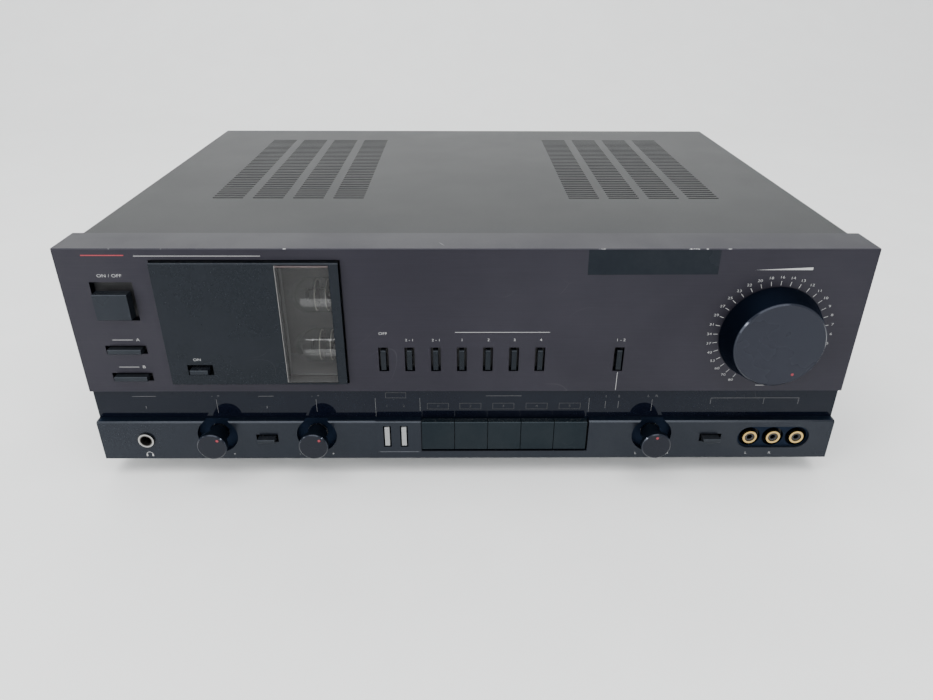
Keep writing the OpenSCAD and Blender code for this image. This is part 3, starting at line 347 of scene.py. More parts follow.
def place_on(tree, points, shape, rotation=None, scale=None):
    made = tree.nodes.new("GeometryNodeInstanceOnPoints")
    tree.links.new(points, made.inputs["Points"])
    tree.links.new(shape, made.inputs["Instance"])
    for label, value in (("Rotation", rotation), ("Scale", scale)):
        if isinstance(value, bpy.types.NodeSocket):
            tree.links.new(value, made.inputs[label])
        elif value is not None:
            made.inputs[label].default_value = value
    return made.outputs[0]


insulator_tool, given = geometry_tool(
    "Jack insulators", {**row_inputs, "Middle Radius": "Float", "Section": "Float", "Material": "Material"})
circle = insulator_tool.nodes.new("GeometryNodeCurvePrimitiveCircle")
circle.inputs["Resolution"].default_value = 28
insulator_tool.links.new(given["Middle Radius"], circle.inputs["Radius"])
section = insulator_tool.nodes.new("GeometryNodeCurvePrimitiveQuadrilateral")
insulator_tool.links.new(given["Section"], section.inputs["Width"])
insulator_tool.links.new(given["Section"], section.inputs["Height"])
ring = add_node(insulator_tool, "GeometryNodeCurveToMesh", circle.outputs[0], section.outputs[0]).outputs[0]
rings = place_on(insulator_tool, row_of_points(insulator_tool, given), ring, (math.radians(90), 0.0, 0.0))
end_tool(insulator_tool, rings, given["Material"])

white_moulding = Finish("white moulding", (0.6, 0.58, 0.54), (0.72, 0.7, 0.66), (0.35, 0.5), relief=0.08)
red_moulding = Finish("red moulding", (0.38, 0.02, 0.018), (0.5, 0.04, 0.03), (0.35, 0.5), relief=0.08)
upper_row, lower_row = 76, 56
jack_first, jack_pitch, jack_count = -167, 18, 9
ring_out = 10.05
ring_size = dict(rows=1, row_pitch=0.0, middle_radius=2.3 * MM, section=1.3 * MM)
for side, height, finish in (("left", upper_row, white_moulding), ("right", lower_row, red_moulding)):
    grow("rear_insulators_" + side, insulator_tool, "chassis", "black_moulding", columns=jack_count,
         column_pitch=jack_pitch * MM, first=(jack_first * MM, (rear + ring_out) * MM, height * MM),
         material=finish.material, **ring_size)

# Speaker posts and ground post: screw terminals with a moulded, ribbed cap on a plated stud.
# The upper row is red and the lower row black. The ground post is bare plated metal.
post_moulding = Finish("post moulding", (0.007, 0.007, 0.008), (0.016, 0.016, 0.017), (0.26, 0.38),
                       relief=0.1)
between_rows = (upper_row + lower_row) / 2
upper = post_moulding.step(post_moulding.axes()[2], between_rows - 0.1, between_rows + 0.1)
post_moulding.over(upper, (0.36, 0.012, 0.012))
post_moulding.dress("speaker_posts")


def nickel_finish(name):
    return Finish(name, (0.34, 0.34, 0.33), (0.46, 0.45, 0.44), (0.22, 0.34), 1.0, 1500.0, relief=0.03)


nickel_finish("bright nickel").dress("ground_post")


def on_circle(tree, turn, radius):
    """A spot on an upright circle, turned clockwise from its top."""
    return add_node(tree, "ShaderNodeCombineXYZ", product(tree, calculate(tree, "SINE", turn), radius), 0.0,
                    product(tree, calculate(tree, "COSINE", turn), radius)).outputs[0]


rib_tool, given = geometry_tool("Post ribs", {
    **row_inputs, "Ribs": "Int", "Radius": "Float", "Rib Size": "Vector", "Material": "Material"})
rib_index = rib_tool.nodes.new("GeometryNodeInputIndex").outputs[0]
rib_turn = product(rib_tool, calculate(rib_tool, "DIVIDE", rib_index, given["Ribs"]), math.tau)
rib_spot = on_circle(rib_tool, rib_turn, given["Radius"])
rib_ring = add_node(rib_tool, "GeometryNodePoints", given["Ribs"], rib_spot).outputs[0]
rib = add_node(rib_tool, "GeometryNodeMeshCylinder", 6).outputs[0]
rib_facing = add_node(rib_tool, "ShaderNodeCombineXYZ", math.radians(90), rib_turn, 0.0).outputs[0]
rib_cap = place_on(rib_tool, rib_ring, rib, rib_facing, given["Rib Size"])
end_tool(rib_tool, place_on(rib_tool, row_of_points(rib_tool, given), rib_cap), given["Material"])
post_first, post_pitch, post_count = 62, 19, 4
cap_out = 7.2
grow("post_ribs", rib_tool, "chassis", "black_moulding", columns=post_count, rows=2,
     column_pitch=post_pitch * MM, row_pitch=(upper_row - lower_row) * MM,
     first=(post_first * MM, (rear + cap_out) * MM, lower_row * MM), ribs=26, radius=5.95 * MM,
     rib_size=(0.34 * MM, 0.34 * MM, 4.2 * MM), material=post_moulding.material)

# Cord gland: a moulded black bush in the rear panel's corner, where the mains cord goes in.
# It is soft plastic with a matt mould finish.
gland_moulding = Finish("gland moulding", (0.01, 0.01, 0.01), (0.022, 0.022, 0.022), (0.55, 0.7), relief=0.3)
gland_moulding.dress("cord_gland")

# Rear panel screws: self-tapping pan heads with a cross recess, along the rear panel's edge.
# They hold the panel to the pan and the cover.
screw_tool, given = geometry_tool("Panel screws", {
    **row_inputs, "Head Radius": "Float", "Head Height": "Float", "Recess": "Float", "Material": "Material"})
crown = product(screw_tool, given["Head Radius"], 0.62)
head = add_node(screw_tool, "GeometryNodeMeshCone", 20, 1, 1, crown, given["Head Radius"],
                given["Head Height"])
slot_long = product(screw_tool, given["Head Radius"], 0.9)
lift = add_node(screw_tool, "ShaderNodeCombineXYZ", 0.0, 0.0, given["Head Height"]).outputs[0]
cross_cut = screw_tool.nodes.new("GeometryNodeMeshBoolean")
cross_cut.operation = "DIFFERENCE"
screw_tool.links.new(head.outputs[0], cross_cut.inputs["Mesh 1"])
for wide, tall in ((slot_long, given["Recess"]), (given["Recess"], slot_long)):
    size = add_node(screw_tool, "ShaderNodeCombineXYZ", wide, tall, given["Head Height"]).outputs[0]
    raised = add_node(screw_tool, "GeometryNodeTransform",
                      add_node(screw_tool, "GeometryNodeMeshCube", size).outputs[0])
    screw_tool.links.new(lift, raised.inputs["Translation"])
    screw_tool.links.new(raised.outputs[0], cross_cut.inputs["Mesh 2"])
screws = place_on(screw_tool, row_of_points(screw_tool, given), cross_cut.outputs[0],
                  (math.radians(-90), 0.0, 0.0))
end_tool(screw_tool, screws, given["Material"])
grow("rear_screws", screw_tool, "chassis", "screw_steel", columns=5, rows=2, column_pitch=98 * MM,
     row_pitch=115 * MM, first=(-196 * MM, rear * MM, 20 * MM), head_radius=2.8 * MM, head_height=1.5 * MM,
     recess=0.6 * MM, material=oxide.material)

# Marks on the rear panel: plain screen-printed numbers, letters and lines beside the jacks and posts.
# The ink is a thin off-white layer.
ink = Finish("white ink", (0.56, 0.56, 0.55), (0.7, 0.7, 0.68), (0.5, 0.65), relief=0.1)
PRINT = 0.03


def add_text(mesh, text, spot, height, wide=1.25, face=-1):
    """Prints letters or numbers, centred on a spot in millimetres, facing the front (-1) or the rear (1)."""
    curve = bpy.data.curves.new("mark", "FONT")
    curve.body = text
    curve.size = height / 0.7
    curve.align_x = "CENTER"
    curve.align_y = "CENTER"
    curve.extrude = PRINT
    curve.offset = -0.016 * height
    curve.resolution_u = 3
    holder = bpy.data.objects.new("mark", curve)
    bpy.context.scene.collection.objects.link(holder)
    shape = bpy.data.meshes.new_from_object(holder.evaluated_get(bpy.context.evaluated_depsgraph_get()))
    turn = Matrix.Rotation(0 if face < 0 else math.pi, 4, "Z") @ Matrix.Rotation(math.pi / 2, 4, "X")
    stretch = Matrix.Diagonal((wide * MM, MM, MM, 1.0))
    shape.transform(Matrix.Translation(Vector(spot) * MM) @ turn @ stretch)
    mesh.from_mesh(shape)
    bpy.data.objects.remove(holder)
    bpy.data.curves.remove(curve)
    bpy.data.meshes.remove(shape)
    bmesh.ops.remove_doubles(mesh, verts=mesh.verts, dist=0.0005 * MM)


def add_line(mesh, y, x0, z0, x1, z1):
    """A printed bar between two corners on an upright plane."""
    add_block(mesh, (x0, y - PRINT, z0), (x1, y + PRINT, z1))


def add_frame(mesh, y, x0, z0, x1, z1, line):
    """A printed rectangle's outline."""
    add_line(mesh, y, x0, z0, x1, z0 + line)
    add_line(mesh, y, x0, z1 - line, x1, z1)
    add_line(mesh, y, x0, z0 + line, x0 + line, z1 - line)
    add_line(mesh, y, x1 - line, z0 + line, x1, z1 - line)


rear_marks = bmesh.new()
for column in range(jack_count):
    add_text(rear_marks, str(column + 1), (jack_first + jack_pitch * column, rear, 87.5), 3.0, face=1)
add_line(rear_marks, rear, -174, 91.2, -16, 91.6)
for height, letter in ((upper_row, "L"), (lower_row, "R")):
    for x in (-179.5, 130):
        add_text(rear_marks, letter, (x, rear, height), 3.2, face=1)
for column in range(post_count):
    add_text(rear_marks, "AB"[column // 2], (post_first + post_pitch * column, rear, 88), 3.2, face=1)
add_frame(rear_marks, rear, 52.5, 46, 90.5, 84, 0.4)
add_frame(rear_marks, rear, 90.5, 46, 126.5, 84, 0.4)
ground_x, ground_z, bar = -5, 45.5, 0.4
for width, z in ((5, ground_z), (3.2, ground_z - 1.3), (1.4, ground_z - 2.6)):
    add_line(rear_marks, rear, ground_x - width / 2, z, ground_x + width / 2, z + bar)
add_line(rear_marks, rear, ground_x - bar / 2, ground_z + bar, ground_x + bar / 2, ground_z + 2.9)
keep_piece("rear_marks", rear_marks, ink, "chassis")

# Tube sockets in their screening can: glazed white ceramic, clipped into the can's end wall.
# The can is folded from dull grey sheet and lies open towards the window.
ceramic = Finish("glazed ceramic", (0.62, 0.6, 0.56), (0.74, 0.72, 0.68), (0.12, 0.25), relief=0.05)
ceramic.dress("tube_sockets")
can_sheet = Finish("dull can sheet", (0.2, 0.2, 0.2), (0.25, 0.25, 0.25), (0.5, 0.65), 0.0, 500.0,
                   (0.1, 1.0, 1.0))
can_sheet.dress("tube_can")

# Tube works: each tube has mica discs on a stem, two ribbed plates between them, rods and a getter ring.
# The plates are carbonised metal. All of it lies on its side, because the tubes lie across the set.


def turned(mesh, profile, place, steps=32, ring=False):
    """Turns a profile of radius and height, in millimetres, about the local Z axis into a closed form."""
    rows = []
    for radius, height in profile:
        turns = steps if radius else 1
        angles = [math.tau * i / turns for i in range(turns)]
        spots = [Vector((radius * math.cos(a), radius * math.sin(a), height)) * MM for a in angles]
        rows.append([mesh.verts.new(place @ spot) for spot in spots])
    for first, second in list(zip(rows, rows[1:])) + ([(rows[-1], rows[0])] if ring else []):
        for i in range(steps):
            around = (first[i % len(first)], first[(i + 1) % len(first)],
                      second[(i + 1) % len(second)], second[i % len(second)])
            different = list(dict.fromkeys(around))
            if len(different) > 2:
                mesh.faces.new(different)


def towards(axis, spot):
    """A placing that turns the local Z axis to an axis, at a spot in millimetres."""
    turn = Vector((0, 0, 1)).rotation_difference(Vector(axis)).to_matrix().to_4x4()
    return Matrix.Translation(Vector(spot) * MM) @ turn


tube_low, tube_high = corners("tube_electrodes")
tube_depth = (tube_low.y + tube_high.y) / 2
tube_heights = (111.2, 79.2)
plate_left, plate_right = -78.9, -64.7


def along_tube(x, height, deep=0.0, up=0.0):
    """A placing on a tube's axis, or beside it, that points along the tube."""
    return towards((1, 0, 0), (x, tube_depth + deep, height + up))


def tube_radius(finish):
    """Distance from the nearer tube's axis, and height over it."""
    _, deep, up = finish.axes()
    pitch = tube_heights[0] - tube_heights[1]
    depth = finish.beyond(deep, tube_depth)
    start = finish.beyond(up, tube_heights[1] - pitch / 2)
    upright = finish.beyond(calculate(finish.tree, "MODULO", start, pitch * MM), pitch / 2)
    return finish.off_axis(depth, upright), upright


mica = Finish("mica", (0.1, 0.097, 0.09), (0.15, 0.145, 0.13), (0.2, 0.35), relief=0.1)
# The mica discs' rims are painted bright as a painted highlight, so they show as thin bright arcs; their
# faces stay dark.
mica.over(mica.step(tube_radius(mica)[0], 8.4, 8.7), (0.85, 0.82, 0.73))
mica_discs = bmesh.new()
for height in tube_heights:
    for x, edge in ((-85.5, 9.25), (-79.2, 9.25), (-64.4, 9.0)):
        disc = ((0, -0.25), (edge - 0.3, -0.25), (edge, 0), (edge - 0.3, 0.25), (0, 0.25))
        turned(mica_discs, disc, along_tube(x, height), 28)
keep_piece("tube_micas", mica_discs, mica, "chassis")

plate_metal = Finish("carbonised plate", (0.03, 0.03, 0.032), (0.075, 0.073, 0.072), (0.45, 0.6), 0.5, 1500.0)
plate_outline = ((2.6, -1.2), (2.6, 1.2), (1.2, 1.9), (0.5, 1.5), (-0.5, 1.5), (-1.2, 1.9),
                 (-2.6, 1.2), (-2.6, -1.2), (-1.2, -1.9), (-0.5, -1.5), (0.5, -1.5), (1.2, -1.9))
plate_apart = 4.1
getter_x, getter_radius = -91, 3.2
works = bmesh.new()
for height in tube_heights:
    for middle in (tube_depth - plate_apart, tube_depth + plate_apart):
        ends = [[works.verts.new(Vector((x, middle + deep, height + up)) * MM) for up, deep in plate_outline]
                for x in (plate_left, plate_right)]
        for i in range(len(plate_outline)):
            works.faces.new((ends[0][i - 1], ends[0][i], ends[1][i], ends[1][i - 1]))
        works.faces.new(ends[0])
        works.faces.new(ends[1])
    for up, deep in ((4.2, 0), (-4.2, 0), (0, 7.2), (0, -7.2)):
        rod = ((0, 0), (0.35, 0), (0.35, 29.5), (0, 29.5))
        turned(works, rod, along_tube(-88.2, height, deep, up), 8)
    turned(works, ((0, 0), (3, 0), (3, 5.9), (0, 5.9)), along_tube(-64, height), 20)
    getter = ((getter_radius, -0.35), (3.55, 0), (getter_radius, 0.35), (2.85, 0))
    turned(works, getter, along_tube(getter_x, height), 24, True)
    turned(works, ((0, 0), (0.3, 0), (0.3, 5), (0, 5)), along_tube(getter_x, height, up=getter_radius), 8)
tube_works = keep_piece("tube_works", works, plate_metal, "chassis")
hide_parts("tube_electrodes")

# Tube glass: drawn bulbs, sealed at the tip. The glass is clear, and all it shows is its highlights:
# the pale floor in front lies along each bulb as one broad, soft band, with a thin streak above it.
# Both are painted highlights: a strong coat is laid on the glass only along the band and the streak.
glass = Finish("tube glass", (0.93, 0.95, 0.94), (0.97, 0.98, 0.975), (0.01, 0.03), relief=0.0)
glass.shader.inputs["Transmission Weight"].default_value = 1.0
glass.shader.inputs["IOR"].default_value = 1.015
glass.shader.inputs["Coat IOR"].default_value = 2.4
depth = glass.beyond(glass.axes()[1], tube_depth)
radius, upright = tube_radius(glass)
outside = glass.both(glass.step(radius, 10.1, 10.3), glass.step(depth, 1.0, -1.0))
# Painted highlights: the coat is laid on only along this band and this streak.
band = glass.both(glass.step(upright, -3.2, -2.6), glass.step(upright, 2.7, 2.1))
streak = glass.both(glass.step(upright, 6.6, 7.0), glass.step(upright, 7.6, 7.2))
highlight = glass.both(outside, calculate(glass.tree, "MAXIMUM", band, streak))
glass.tree.links.new(highlight, glass.shader.inputs["Coat Weight"])
glass.dress("tube_glass")

# Push switches, rotary controls and lamps behind the front: ivory mouldings, drawn metal cases, red lamps.
# They sit between the plate and the control boards, and turned steel shafts run out to the knobs.
ivory = Finish("ivory moulding", (0.5, 0.46, 0.36), (0.62, 0.58, 0.48), (0.4, 0.55), relief=0.1)
ivory.dress("push_switches")
drawn_metal = Finish("drawn control case", (0.42, 0.42, 0.41), (0.58, 0.58, 0.56), (0.28, 0.42), 1.0, 900.0)
drawn_metal.dress("potentiometers")
turned_steel = Finish("turned steel", (0.45, 0.45, 0.45), (0.6, 0.6, 0.59), (0.2, 0.32), 1.0, 2400.0,
                      (0.05, 1.0, 0.05))
turned_steel.dress("volume_shaft", "bass_shaft", "treble_shaft", "balance_shaft")
lamp_lens = Finish("lamp lens", (0.28, 0.01, 0.006), (0.4, 0.025, 0.012), (0.15, 0.28), relief=0.1)
lamp_lens.dress("indicator_lamps")

# Front jacks: three gold-flashed shells in a round-ended well, each with a black ring round its contact.
# Behind the mouth they are painted near-black, as painted shade.
jack_gold = Finish("front jack gold", (0.5, 0.33, 0.11), (0.62, 0.44, 0.18), (0.14, 0.26), 1.0, 1400.0,
                   relief=0.04)
mouth = corners("front_jacks")[0].y
# Painted shade: the gold behind the mouth is painted near-black.
shaded_behind_mouth = jack_gold.step(jack_gold.axes()[1], mouth + 0.5, mouth + 1.5)
jack_gold.over(shaded_behind_mouth, (0.006, 0.008, 0.014), 0.5)
jack_gold.dress("front_jacks")
black_moulding = Finish("black moulding", (0.006, 0.006, 0.007), (0.014, 0.014, 0.016), (0.3, 0.46),
                        relief=0.12)
grow("front_insulators", insulator_tool, "chassis", "black_moulding", columns=3, column_pitch=14.1 * MM,
     first=(170.2 * MM, (front - 1.35) * MM, 26.6 * MM), material=black_moulding.material, **ring_size)

# Phones socket: a nickel-plated bush through the lower panel and the plate, with a ring round its mouth.
# The ring is bright in the middle; next to the bore and at its outer edge it is painted darker, as painted
# shade.
socket_x, socket_z = -191.8, 25.6
socket_nickel = nickel_finish("socket nickel")
across, _, up = socket_nickel.axes()
radius = socket_nickel.off_axis(socket_nickel.beyond(across, socket_x), socket_nickel.beyond(up, socket_z))
# Painted shade next to the bore and round the ring's outer edge.
socket_nickel.over(socket_nickel.step(radius, 3.9, 3.7), (0.085, 0.08, 0.075), 0.5)
socket_nickel.over(socket_nickel.step(radius, 4.5, 4.6), (0.06, 0.06, 0.06), 0.4)
socket_nickel.dress("phones_socket")

# Upper front panel: an aluminium extrusion with a fine level hairline, anodised a warm dark grey.
# Its top front edge has a few small knocks down to the bare metal, and a short scratch lies on its ledge.
# The walls of its openings are painted dull and dark, as painted shade.
# A mask along an edge, broken by noise. It marks real knocks on the upper panel and painted highlights along
# the lower panel's edges.
edge_wear_and_highlight, given, result = shader_group(
    "Edge wear and highlight", {"Edge Y": 0.0, "Edge Z": 0.0, "Reach": 0.001, "Middle X": 0.0, "Half Length": 0.01,
                  "Breaks": 0.5}, {}, ("Mask",))
spot = add_node(edge_wear_and_highlight, "ShaderNodeTexCoord").outputs["Object"]
across, deep, up = add_node(edge_wear_and_highlight, "ShaderNodeSeparateXYZ", spot).outputs


def away(tree, value, middle=0.0):
    return calculate(tree, "ABSOLUTE", calculate(tree, "SUBTRACT", value, middle))


def share(tree, distance, reach):
    """Falls from one to nothing over a reach."""
    return calculate(tree, "SUBTRACT", 1.0, calculate(tree, "DIVIDE", distance, reach))


off_edge = calculate(edge_wear_and_highlight, "ADD", away(edge_wear_and_highlight, deep, given["Edge Y"]),
                     away(edge_wear_and_highlight, up, given["Edge Z"]))
near = share(edge_wear_and_highlight, off_edge, given["Reach"])
along = share(edge_wear_and_highlight, away(edge_wear_and_highlight, across, given["Middle X"]), given["Half Length"])
knocks = add_node(edge_wear_and_highlight, "ShaderNodeTexNoise", spot, None, 900.0, 3.0, 0.6).outputs[0]
broken = add_node(edge_wear_and_highlight, "ShaderNodeMapRange", knocks, given["Breaks"],
                  calculate(edge_wear_and_highlight, "ADD", given["Breaks"], 0.08), 0.0, 1.0).outputs[0]
worn = product(edge_wear_and_highlight, ramp(edge_wear_and_highlight, near, 0.0, 0.3), ramp(edge_wear_and_highlight, along, 0.0, 0.2))
edge_wear_and_highlight.links.new(product(edge_wear_and_highlight, worn, broken), result["Mask"])

stroke, given, result = shader_group(
    "Scratch stroke", {"Half Length": 0.003, "Half Width": 0.0002},
    {"Middle": (0.0, 0.0, 0.0), "Turn": (0.0, 0.0, 0.0)}, ("Mask",))
spot = add_node(stroke, "ShaderNodeTexCoord").outputs["Object"]
local = add_node(stroke, "ShaderNodeMapping", spot, given["Middle"], given["Turn"], vector_type="TEXTURE")
across, deep, up = add_node(stroke, "ShaderNodeSeparateXYZ", local.outputs[0]).outputs
length = share(stroke, away(stroke, across), given["Half Length"])
width = share(stroke, away(stroke, deep), product(stroke, given["Half Width"], length))
lie = share(stroke, away(stroke, up), given["Half Length"])
drawn = product(stroke, ramp(stroke, width, 0.0, 0.4), ramp(stroke, length, 0.0, 0.1))
stroke.links.new(product(stroke, drawn, ramp(stroke, lie, 0.0, 0.1)), result["Mask"])

handling, given, result = shader_group("Handling marks", {"Scale": 9.0}, {}, ("Smudge", "Scratch", "Dust"))
spot = add_node(handling, "ShaderNodeTexCoord").outputs["Object"]
smear = add_node(handling, "ShaderNodeTexNoise", spot, None, given["Scale"], 5.0, 0.62).outputs[0]
handling.links.new(ramp(handling, smear, 0.42, 0.7), result["Smudge"])
bend = add_node(handling, "ShaderNodeTexNoise", spot, None, 6.0, 2.0, 0.5).outputs["Color"]
bent = add_node(handling, "ShaderNodeVectorMath", spot, bend, operation="ADD").outputs[0]
lines = add_node(handling, "ShaderNodeTexVoronoi", bent, None, given["Scale"], feature="DISTANCE_TO_EDGE")
thin = ramp(handling, lines.outputs[0], 0.004, 0.0)
patches = add_node(handling, "ShaderNodeTexNoise", spot, None, 31.0, 2.0, 0.5).outputs[0]
handling.links.new(product(handling, thin, ramp(handling, patches, 0.57, 0.68)), result["Scratch"])
specks = add_node(handling, "ShaderNodeTexNoise", spot, None, 950.0, 3.0, 0.7).outputs[0]
normal = handling.nodes.new("ShaderNodeNewGeometry").outputs["Normal"]
facing = add_node(handling, "ShaderNodeSeparateXYZ", normal).outputs[2]
dust = product(handling, ramp(handling, specks, 0.5, 0.75), ramp(handling, facing, 0.3, 0.95))
handling.links.new(dust, result["Dust"])


def add_marks(finish, scale, smudge, scratch, dust):
    """Lays faint smudges, hairline scratches and settled dust over a finish."""
    marks = add_node(finish.tree, "ShaderNodeGroup", scale, node_tree=handling).outputs
    for label, strength, color, rough in (
            ("Smudge", smudge, (0.09, 0.09, 0.092), 0.5), ("Scratch", scratch, (0.3, 0.3, 0.3), 0.45),
            ("Dust", dust, (0.36, 0.35, 0.33), 0.8)):
        if strength:
            finish.over(product(finish.tree, marks[label], strength), color, rough)


def inside_ends(finish, across, node):
    """Leaves out the outer ends of a panel that is as wide as the set."""
    half_width = corners(node)[1].x
    return finish.step(away(finish.tree, across), half_width - 0.8, half_width - 1.2)


anodised = Finish("dark anodised hairline", (0.0064, 0.0055, 0.0092), (0.0102, 0.0087, 0.014), (0.34, 0.44),
                  0.0, 2600.0, (0.015, 1.0, 1.0), 0.12, 0.3, (0.86, 0.86, 1.0))
top = corners("fascia")[1].z
across, deep, up = anodised.axes()
# Painted shade on the walls of the openings.
in_opening = anodised.both(anodised.step(deep, front + 0.1, front + 0.5),
                           anodised.step(up, top - 2.4, top - 2.8))
shaded_walls = anodised.both(in_opening, inside_ends(anodised, across, "fascia"))
anodised.over(shaded_walls, (0.006, 0.0085, 0.016), 0.6, 1.0)
add_marks(anodised, 8.0, 0.06, 0.05, 0.05)
chip_reach = 0.5
for middle, half, breaks, bare in ((119.8, 3.2, 0.45, 0.5), (126.7, 0.6, 0.3, 0.45), (138.3, 1.6, 0.48, 0.35),
                                   (71.0, 2.0, 0.5, 0.28), (-96.6, 0.8, 0.35, 0.4), (-188.6, 0.5, 0.4, 0.12),
                                   (-161.4, 0.4, 0.4, 0.12)):
    chip = add_node(anodised.tree, "ShaderNodeGroup", front * MM, top * MM, chip_reach * MM, middle * MM,
                    half * MM, breaks, node_tree=edge_wear_and_highlight)
    anodised.over(chip.outputs[0], (bare, bare, bare), 0.35)
scratch_middle = (-14.0 * MM, (front + 7.3) * MM, top * MM)
scratch_turn = (0.0, 0.0, math.radians(-60.6))
scratch = add_node(anodised.tree, "ShaderNodeGroup", 3.6 * MM, 0.3 * MM, scratch_middle, scratch_turn,
                   node_tree=stroke)
anodised.over(scratch.outputs[0], (0.17, 0.17, 0.17), 0.35)
anodised.dress("fascia")

# A strip of plain dark film, stuck on the upper panel below its top edge.
# It is smoother than the panel, so it shows darker and bluer.
film = Finish("dark film", (0.004, 0.0055, 0.008), (0.007, 0.0085, 0.0115), (0.2, 0.28), 0.0, 300.0,
              relief=0.03, gloss=0.16, tint=(0.74, 0.86, 1.0))
add_marks(film, 12.0, 0.05, 0.06, 0.0)


def add_plate(mesh, outline, back, face):
    """A thin plate between two depths, from an outline of points across and up, in millimetres."""
    rows = [[mesh.verts.new(Vector((x, y, z)) * MM) for x, z in outline] for y in (back, face)]
    for i in range(len(outline)):
        mesh.faces.new((rows[0][i - 1], rows[0][i], rows[1][i], rows[1][i - 1]))
    mesh.faces.new(rows[0])
    mesh.faces.new(rows[1])


film_outline = ((64.3, 130.6), (134.4, 130.9), (134.2, 144.7), (64.0, 144.8))
film_strip = bmesh.new()
add_plate(film_strip, film_outline, front + 0.02, front - 0.05)
keep_piece("film_strip", film_strip, film, "chassis")

# Smoked panel: a slab of dark acrylic that stands a little proud of its opening, with a polished face.
# Fine wiping scratches and a haze of dust break its gloss.
smoked = Finish("smoked acrylic", (0.0032, 0.0042, 0.0056), (0.005, 0.0062, 0.0082), (0.07, 0.13), 0.0, 500.0,
                relief=0.0, gloss=0.21, tint=(0.76, 0.85, 1.0))
add_marks(smoked, 14.0, 0.02, 0.05, 0.08)
smoked.dress("smoked_panel")

# Tube window: clear acrylic, let into the smoked panel flush with its face, with a faint grey haze in it.
# Its cut edges are painted: light lines at the left and below are painted highlights, a faint red line runs
# above, and the cut faces further back are painted a darker grey as painted shade.
window = Finish("clear acrylic", (0.028, 0.0275, 0.028), (0.036, 0.0355, 0.036), (0.05, 0.1), relief=0.0)
low, high = corners("tube_window")
across, deep, up = window.axes()
# Painted highlights: light lines along the left and bottom cut edges.
left_edge_highlight = window.step(across, low.x + 0.5, low.x + 0.3)
bottom_edge_highlight = window.step(up, low.z + 0.6, low.z + 0.4)
top_edge = window.step(up, high.z - 1.2, high.z - 0.9)
cut_edge = top_edge
for edge, color in ((top_edge, (0.05, 0.03, 0.03)), (bottom_edge_highlight, (0.12, 0.12, 0.12)),
                    (left_edge_highlight, (0.15, 0.147, 0.145))):
    window.over(edge, color)
    cut_edge = calculate(window.tree, "MAXIMUM", cut_edge, edge)
# Painted shade: the cut faces further back are a darker grey than the lines at the front.
cut_face_shade = window.both(cut_edge, window.step(deep, low.y + 0.5, low.y + 0.9))
window.over(cut_face_shade, (0.08, 0.08, 0.08))
window.tree.links.new(blend_value(window.tree, cut_edge, 0.28, 0.9), window.shader.inputs["Alpha"])
window.dress("tube_window")

# Indicator strip: polished black acrylic between the two panels, lit from behind by small lamps.
# It is a mirror: the ledge and the knobs in front of it show in it as black shapes.
mirror_black = Finish("polished black acrylic", (0.0021, 0.0029, 0.007), (0.0034, 0.0044, 0.009),
                      (0.02, 0.04), 0.0, 400.0, relief=0.0, gloss=0.2, tint=(0.79, 0.86, 0.95))
add_marks(mirror_black, 16.0, 0.02, 0.05, 0.05)
mirror_black.dress("indicator_strip")

# Lower front panel: a black moulding with a polished face, recesses for the knobs and a well for the jacks.
# The recesses and ledges have the tool's dull finish, and their dark blue-black colour is painted shade.
# Its top edge and the lower edge of its raised insert carry painted highlights: light lines painted along
# them.
moulded_gloss = Finish("polished moulding", (0.0055, 0.0066, 0.0098), (0.0085, 0.0102, 0.0145), (0.16, 0.25),
                       0.0, 900.0, relief=0.03, gloss=0.27, tint=(0.77, 0.86, 1.0))
low_front = front - 2.3
across, deep, _ = moulded_gloss.axes()
# Painted shade in the recesses, the jack well and on the ledges.
shaded_set_back = moulded_gloss.both(moulded_gloss.step(deep, low_front + 0.6, low_front + 1.2),
                              inside_ends(moulded_gloss, across, "lower_panel"))
moulded_gloss.over(shaded_set_back, (0.009, 0.015, 0.029), 0.6, 1.0)
add_marks(moulded_gloss, 14.0, 0.04, 0.05, 0.06)
# Painted highlights along the top edge and the insert's lower edge.
highlight_breaks = 0.2
for edge_y, edge_z, reach, middle, half, strength in ((low_front + 0.4, 38.0, 1.2, 0.0, 219.0, 0.1),
                                                      (low_front - 0.3, 16.7, 0.8, -41.0, 13.4, 0.5)):
    edge_highlight = add_node(moulded_gloss.tree, "ShaderNodeGroup", edge_y * MM, edge_z * MM, reach * MM, middle * MM,
                   half * MM, highlight_breaks, node_tree=edge_wear_and_highlight)
    highlighted_edge = product(moulded_gloss.tree, edge_highlight.outputs[0], strength)
    moulded_gloss.over(highlighted_edge, (0.16, 0.17, 0.19), 0.4)
moulded_gloss.dress("lower_panel")

# Buttons: black mouldings with a satin face, each on a square stem through the plate into its switch.
# Fingers have polished them a little. The narrow selectors are deeper black, and two bars are white.
button_black = Finish("button moulding", (0.0052, 0.0064, 0.0088), (0.0082, 0.0098, 0.0128), (0.22, 0.34),
                      0.0, 1000.0, relief=0.06, gloss=0.25, tint=(0.78, 0.87, 1.0))
add_marks(button_black, 30.0, 0.05, 0.05, 0.05)
button_black.dress("power_button", "speaker_a_button", "speaker_b_button", "preheat_button", "tone_button",
                   "source_button")
selector_black = Finish("selector moulding", (0.0022, 0.0028, 0.0042), (0.0036, 0.0046, 0.0066), (0.22, 0.34),
                        0.0, 1000.0, relief=0.06, gloss=0.22, tint=(0.78, 0.88, 1.0))
add_marks(selector_black, 30.0, 0.03, 0.05, 0.04)
selector_black.dress("cartridge_button", *[f"rec_button_{i}" for i in range(1, 8)])
button_white = Finish("white key moulding", (0.235, 0.24, 0.24), (0.29, 0.295, 0.295), (0.35, 0.5), 0.0,
                      1000.0, relief=0.06)
add_marks(button_white, 60.0, 0.1, 0.0, 0.0)
button_white.dress("video_button_1", "video_button_2")

